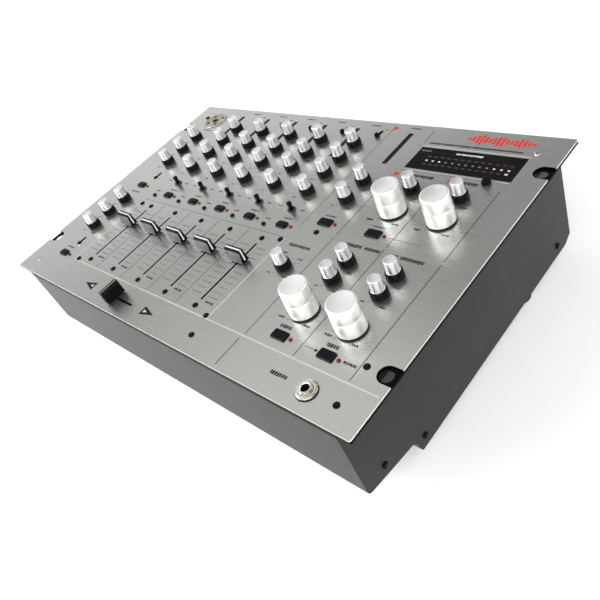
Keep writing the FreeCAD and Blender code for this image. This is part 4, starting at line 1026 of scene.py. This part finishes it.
def print_words():
    """Legends beside the controls, triangles, and the level pattern in red at the back."""
    shape = Shape()
    legends = LEGENDS + TONE_LEGENDS
    legends += [(x + x0, x + x1, y0, y1) for x in CHANNEL_X for x0, x1, y0, y1 in CHANNEL_LEGENDS]
    for seed, (x0, x1, y0, y1) in enumerate(legends):
        words(shape, (x0, x1), (y0, y1), seed)
    words(shape, (358, 448), (284.6, 287.2), 99)
    for seed, knob in enumerate(KNOBS, start=100):
        if is_large(knob):
            continue
        middle = on_top(knob)
        x, y = (middle.x - PANEL_LOW.x) / MM, (middle.y - PANEL_LOW.y) / MM
        words(shape, (x + 6.5, x + 11.5), (y - 10.6, y - 9.2), seed)
        words(shape, (x - 11.5, x - 7.5), (y - 10.6, y - 9.2), seed + 100)
    for tip, base, way in TRIANGLES:
        arrow(shape, tip, base, TRIANGLE_ROW, 4.9, DARK)
        arrow(shape, base - 7.0 * way, base - 2.2 * way, TRIANGLE_ROW, 1.8, PALE, 0.02)
    arrow(shape, 417.4, 413.8, 47.0, 1.5, DARK)
    for x, y in RED_ARROWS:
        arrow(shape, x + 4.6, x - 2.0, y, 3.2, RED)
    for k, tall in enumerate(BAR_HEIGHTS):
        x = BARS_START + BARS_PITCH * k
        rows = (BARS_ROW - tall / 2, BARS_ROW + tall / 2)
        patch(shape, (x, x + BAR_WIDTH), rows, FILM, RED)
    fit_print("panel_legends", shape)


print_lines()
print_scales()
print_words()

# -------- sockets

REAR_Y = 308.9
INTO_REAR = spin(-90, "X")
PHONO_ROWS, PHONO_SHIFT = (-34.0, -49.0), 7.5
MASTER_X = (381.0, 428.0)
OUTLET_Z = -69.0
INLET_X, ROCKER_X, INLET_Z = 52.0, 92.0, -80.5
PHONES_PLACE, MIC_PLACE = (432.0, 17.0), (43.0, 283.0)
ROCKER_TILT = -7
NICKEL_FACE, BRASS_FACE, BLACK_FACE, WHITE_FACE, RED_FACE = range(5)
MIC_FINISHES = [AGED_NICKEL, BRASS, SOFT_BLACK]
SOCKET_FINISHES = [NICKEL, BRASS, SOFT_BLACK, WHITE_SHELL, RED_SHELL]


def fit_socket(name, data, place):
    """Places a socket's mesh as a piece of the case."""
    piece(name, data, CHASSIS, panel(*place), ["sockets"])


def make_phones_jack():
    """The headphone socket: a nickel nut and bush round a brass throat."""
    shape = Shape()
    # a black ring just outside the nut, painted as the contact shadow round its foot
    shape.tube(5.5, 8.78, 0.02, 0.45, BLACK_FACE, 64)
    nut = [(5.5, 0.46), (8.2, 0.46), (8.2, 1.5), (7.9, 2.1), (7.2, 2.36), (5.9, 2.36), (5.5, 1.9)]
    shape.lathe(nut, NICKEL_FACE, 64)
    bush = [(3.3, -9.0), (5.4, -9.0), (5.4, 2.4), (4.9, 2.7), (4.9, 3.3), (5.3, 3.6), (5.2, 4.0),
            (4.8, 4.18), (3.8, 4.18), (3.3, 3.7)]
    shape.lathe(bush, NICKEL_FACE, 48)
    groove = [(4.9, 2.5), (5.35, 2.5), (5.05, 3.0), (5.2, 3.5), (4.9, 3.5)]
    shape.lathe(groove, BRASS_FACE, 48)
    shape.tube(3.22, 3.32, -20.0, 3.5, BLACK_FACE, 48)
    shape.tube(0, 3.6, -21.5, -19.0, BLACK_FACE, 32)
    shape.tube(5.6, 7.9, -23.5, -2.2, BLACK_FACE, 32)
    fit_socket("phones_jack", shape.data("phones_jack", SOCKET_FINISHES), PHONES_PLACE)


def make_mic_socket():
    """The combined microphone socket at the back left."""
    shape = Shape()
    plate = [(3.4, -12.0), (12.0, -12.0), (12.0, 0.02), (14.6, 0.02), (14.95, 0.4), (14.6, 0.95),
             (13.7, 0.98), (13.0, 0.62), (3.9, 0.6), (3.4, 0.2)]
    shape.lathe(plate, NICKEL_FACE, 72)
    ring = [(3.5, 0.3), (5.6, 0.3), (5.5, 0.75), (4.8, 0.97), (4.0, 0.9), (3.5, 0.5)]
    shape.lathe(ring, BRASS_FACE, 48)
    shape.tube(3.22, 3.45, -20.0, 0.45, BRASS_FACE, 32)
    shape.tube(0, 3.5, -20.0, -19.0, BLACK_FACE, 32)
    for point in round_axis(9.7, (45, 135, 225, 315)):
        shape.at(point)
        shape.tube(0, 2.0, -1.4, 0.66, BLACK_FACE, 24)
        shape.lathe([(2.0, 0.5), (2.5, 0.5), (2.4, 0.8), (2.0, 0.8)], BRASS_FACE, 24)
    fit_socket("mic_socket", shape.data("mic_socket", MIC_FINISHES), MIC_PLACE)


def phono_mesh(name, shell):
    """A phono socket, pointing out of the rear wall."""
    shape = Shape(INTO_REAR)
    base = [(4.3, -10.0), (5.9, -10.0), (5.9, 0.3), (5.5, 0.95), (4.3, 0.95)]
    shape.lathe(base, BLACK_FACE, 36)
    barrel = [(3.3, 0.0), (4.12, 0.0), (4.12, 8.9), (3.9, 9.45), (3.3, 9.45)]
    shape.lathe(barrel, NICKEL_FACE, 40)
    shape.tube(4.14, 5.2, 0.98, 1.0, shell, 36)
    core = [(1.72, 0.0), (3.28, 0.0), (3.28, 8.9), (1.72, 9.1)]
    shape.lathe(core, shell, 32)
    shape.tube(0, 1.7, -1.0, 0.0, BRASS_FACE, 20)
    return shape.data(name, SOCKET_FINISHES)


def make_phonos():
    """Pairs of phono sockets behind each channel and behind the master controls."""
    white, red = phono_mesh("phono_white", WHITE_FACE), phono_mesh("phono_red", RED_FACE)
    places = [(x, z) for x in CHANNEL_X for z in PHONO_ROWS]
    places += [(x, PHONO_ROWS[0]) for x in MASTER_X]
    for i, (x, z) in enumerate(places, 1):
        fit_socket(f"phono_{i}_left", white, (x - PHONO_SHIFT, REAR_Y, z))
        fit_socket(f"phono_{i}_right", red, (x + PHONO_SHIFT, REAR_Y, z))


def make_outlets():
    """The two balanced outlets, each with three pins."""
    shape = Shape(INTO_REAR)
    shell = [(9.35, -14.5), (11.4, -14.5), (11.4, 0.02), (13.7, 0.02), (13.95, 0.4), (13.7, 1.9),
             (9.9, 1.95), (9.35, 1.5)]
    shape.lathe(shell, NICKEL_FACE, 64)
    shape.tube(0, 11.3, -14.6, -13.2, BLACK_FACE, 48)
    pin = [(0, -13.4), (1.2, -13.4), (1.2, -2.6), (0.8, -2.0), (0, -1.9)]
    for point in round_axis(4.6, (90, 210, 330)):
        shape.place = INTO_REAR @ Matrix.Translation(point)
        shape.lathe(pin, BRASS_FACE, 20)
    data = shape.data("outlet", SOCKET_FINISHES)
    for i, x in enumerate(MASTER_X, 1):
        fit_socket(f"outlet_{i}", data, (x, REAR_Y, OUTLET_Z))


def tray(shape, half_x, half_z, wall, floor, crest):
    """A rectangular cup in the rear wall, open to the back, in millimetres."""
    inner_x, inner_z = half_x - wall, half_z - wall
    shape.block((-half_x, half_x), (-half_z, half_z), (floor - 1.5, floor))
    for side in (-1, 1):
        x, z = sorted((side * inner_x, side * half_x)), sorted((side * inner_z, side * half_z))
        shape.block(x, (-half_z, half_z), (floor, crest))
        shape.block((-inner_x, inner_x), z, (floor, crest))


def make_mains():
    """The mains inlet with its three blades, and the frame round the power rocker."""
    shape = Shape(INTO_REAR)
    tray(shape, 13.4, 9.9, 2.1, -13.5, 0.05)
    tray(shape, 15.9, 12.4, 4.7, 0.3, 1.95)
    for x, z in ((-7.0, 1.5), (0.0, -2.5), (7.0, 1.5)):
        shape.block((x - 1.0, x + 1.0), (z - 2.0, z + 2.0), (-13.6, -2.5), 1, 0.2)
    data = shape.data("mains_inlet", [SOFT_BLACK, STEEL])
    fit_socket("mains_inlet", data, (INLET_X, REAR_Y, INLET_Z))
    shape = Shape(INTO_REAR)
    tray(shape, 7.9, 10.9, 1.95, -11.0, 1.95)
    data = shape.data("rocker_frame", [SOFT_BLACK])
    fit_socket("rocker_frame", data, (ROCKER_X, REAR_Y, INLET_Z))


def make_rocker():
    """The power rocker, dished across its face, with a stroke and a ring as its marks."""
    side = [(-5.9, -4.9), (-5.9, 4.9), (1.6, 8.45), (3.3, 8.4), (2.55, 4.0), (2.25, 0.0),
            (2.55, -4.0), (3.3, -8.4), (1.6, -8.45)]
    tilt = spin(ROCKER_TILT, "X")
    mark_shift = 2.7 * MM
    shape = Shape(tilt @ SIDEWAYS)
    shape.prism(scaled(side), -5.45 * MM, 5.45 * MM, 0, 0.25 * MM, True)
    shape.place = tilt @ Matrix.Translation((0, mark_shift, 5.0 * MM)) @ INTO_REAR
    shape.block((-0.3, 0.3), (-1.5, 1.5), (-0.4, 0.12), 1)
    shape.place = tilt @ Matrix.Translation((0, mark_shift, -5.0 * MM)) @ INTO_REAR
    shape.tube(1.2, 1.7, -0.4, 0.12, 1, 32)
    data = shape.data("power_rocker_cap", [BLACK, WHITE_INK])
    control("power_rocker_cap", data, "power_rocker", panel(ROCKER_X, REAR_Y, INLET_Z))


make_phones_jack()
make_mic_socket()
make_phonos()
make_outlets()
make_mains()
make_rocker()

# -------- screws

FADER_SCREW_ROWS = (41.5, 128.2)
OTHER_SCREWS = [
    (80.7, 128.7), (80.7, 36.7), (299.5, 132.5), (299.5, 36.7), (328.0, 150.5), (303.3, 16.3),
    (458.3, 50.8), (458.3, 17.2), (22.6, 287.0),
]
BRIGHT_SCREWS = [(22.6, 17.2), (460.0, 287.0)]
# bright domes set where the panel mirrors the microphone switches' buttons: a painted reflection
GLINT_STUDS = [(59.5, 51.0), (60.0, 168.0)]
SIDE_SCREWS = [(24.0, -75.0), (67.0, -97.0), (285.0, -97.0)]
# half the case's width, where the side screws sit
CASE_HALF = 225.0


def screw_mesh(name, head, rise, length, turn, finish=SOFT_BLACK):
    """A domed screw with a dark cross on its head, turned to point out of its wall. The dark cross
    is painted shade standing in for the cross recess.
    """
    shape = Shape(turn)
    profile = [
        (0, -length), (1.4, -length), (1.4, 0.01), (head, 0.01), (head, rise * 0.35),
        (head * 0.9, rise * 0.72), (head * 0.6, rise * 0.95), (0, rise),
    ]
    shape.lathe(profile, 0, 32)
    # the dark cross is painted shade for the recess, raised ink rather than a cut
    arm, half = head * 0.5, head * 0.11
    shape.block((-arm, arm), (-half, half), (rise * 0.8, rise), 1)
    shape.block((-half, half), (-arm, arm), (rise * 0.8, rise * 0.999), 1)
    return shape.data(name, [finish, INK])


def fit_screws(name, mesh, points):
    """Places a screw's mesh as pieces of the case."""
    for i, point in enumerate(points, 1):
        piece(f"{name}_{i}", mesh, CHASSIS, point, ["screws"])


def make_screws():
    """Every screw head on the panel and on the sides of the case."""
    upright = Matrix.Identity(4)
    bright = screw_mesh("bright_screw", 2.65, 1.08, 3.0, upright, STEEL)
    fit_screws("bright_screw", bright, [panel(x, y) for x, y in BRIGHT_SCREWS])
    black = screw_mesh("panel_screw", 2.65, 1.08, 3.0, upright)
    places = [(x, y) for x in CHANNEL_X for y in FADER_SCREW_ROWS] + OTHER_SCREWS
    fit_screws("panel_screw", black, [panel(x, y) for x, y in places])
    middle = (PANEL_LOW.x + PANEL_HIGH.x) / 2
    for side, sign in (("left", -1), ("right", 1)):
        name = f"side_screw_{side}"
        mesh = screw_mesh(name, 2.95, 1.48, 4.9, spin(90 * sign, "Y"))
        points = [panel(0, y, z) for y, z in SIDE_SCREWS]
        for point in points:
            point.x = middle + sign * CASE_HALF * MM
        fit_screws(name, mesh, points)


def make_glint_studs():
    """Bright domes beside the microphone switches, where the panel shows the reflection of their
    buttons: a painted reflection.
    """
    shape = Shape()
    shape.lathe([(0, 0.01), (1.5, 0.01), (1.35, 0.5), (0.8, 0.8), (0, 0.88)], 0, 24)
    data = shape.data("glint_stud", [NICKEL])
    for i, (x, y) in enumerate(GLINT_STUDS, 1):
        piece(f"rivet_{i}", data, CHASSIS, panel(x, y))


make_screws()
make_glint_studs()

# -------- the CAD nodes that stay

STAYING = {
    "faceplate": BRUSHED,
    "case_shell": CASE,
    "bottom_cover": COVER,
    "rubber_feet": RUBBER,
    "circuit_boards": BOARD,
    "power_transformer": CORE,
}
for node_name, node_finish in STAYING.items():
    repaint(node_name, node_finish)
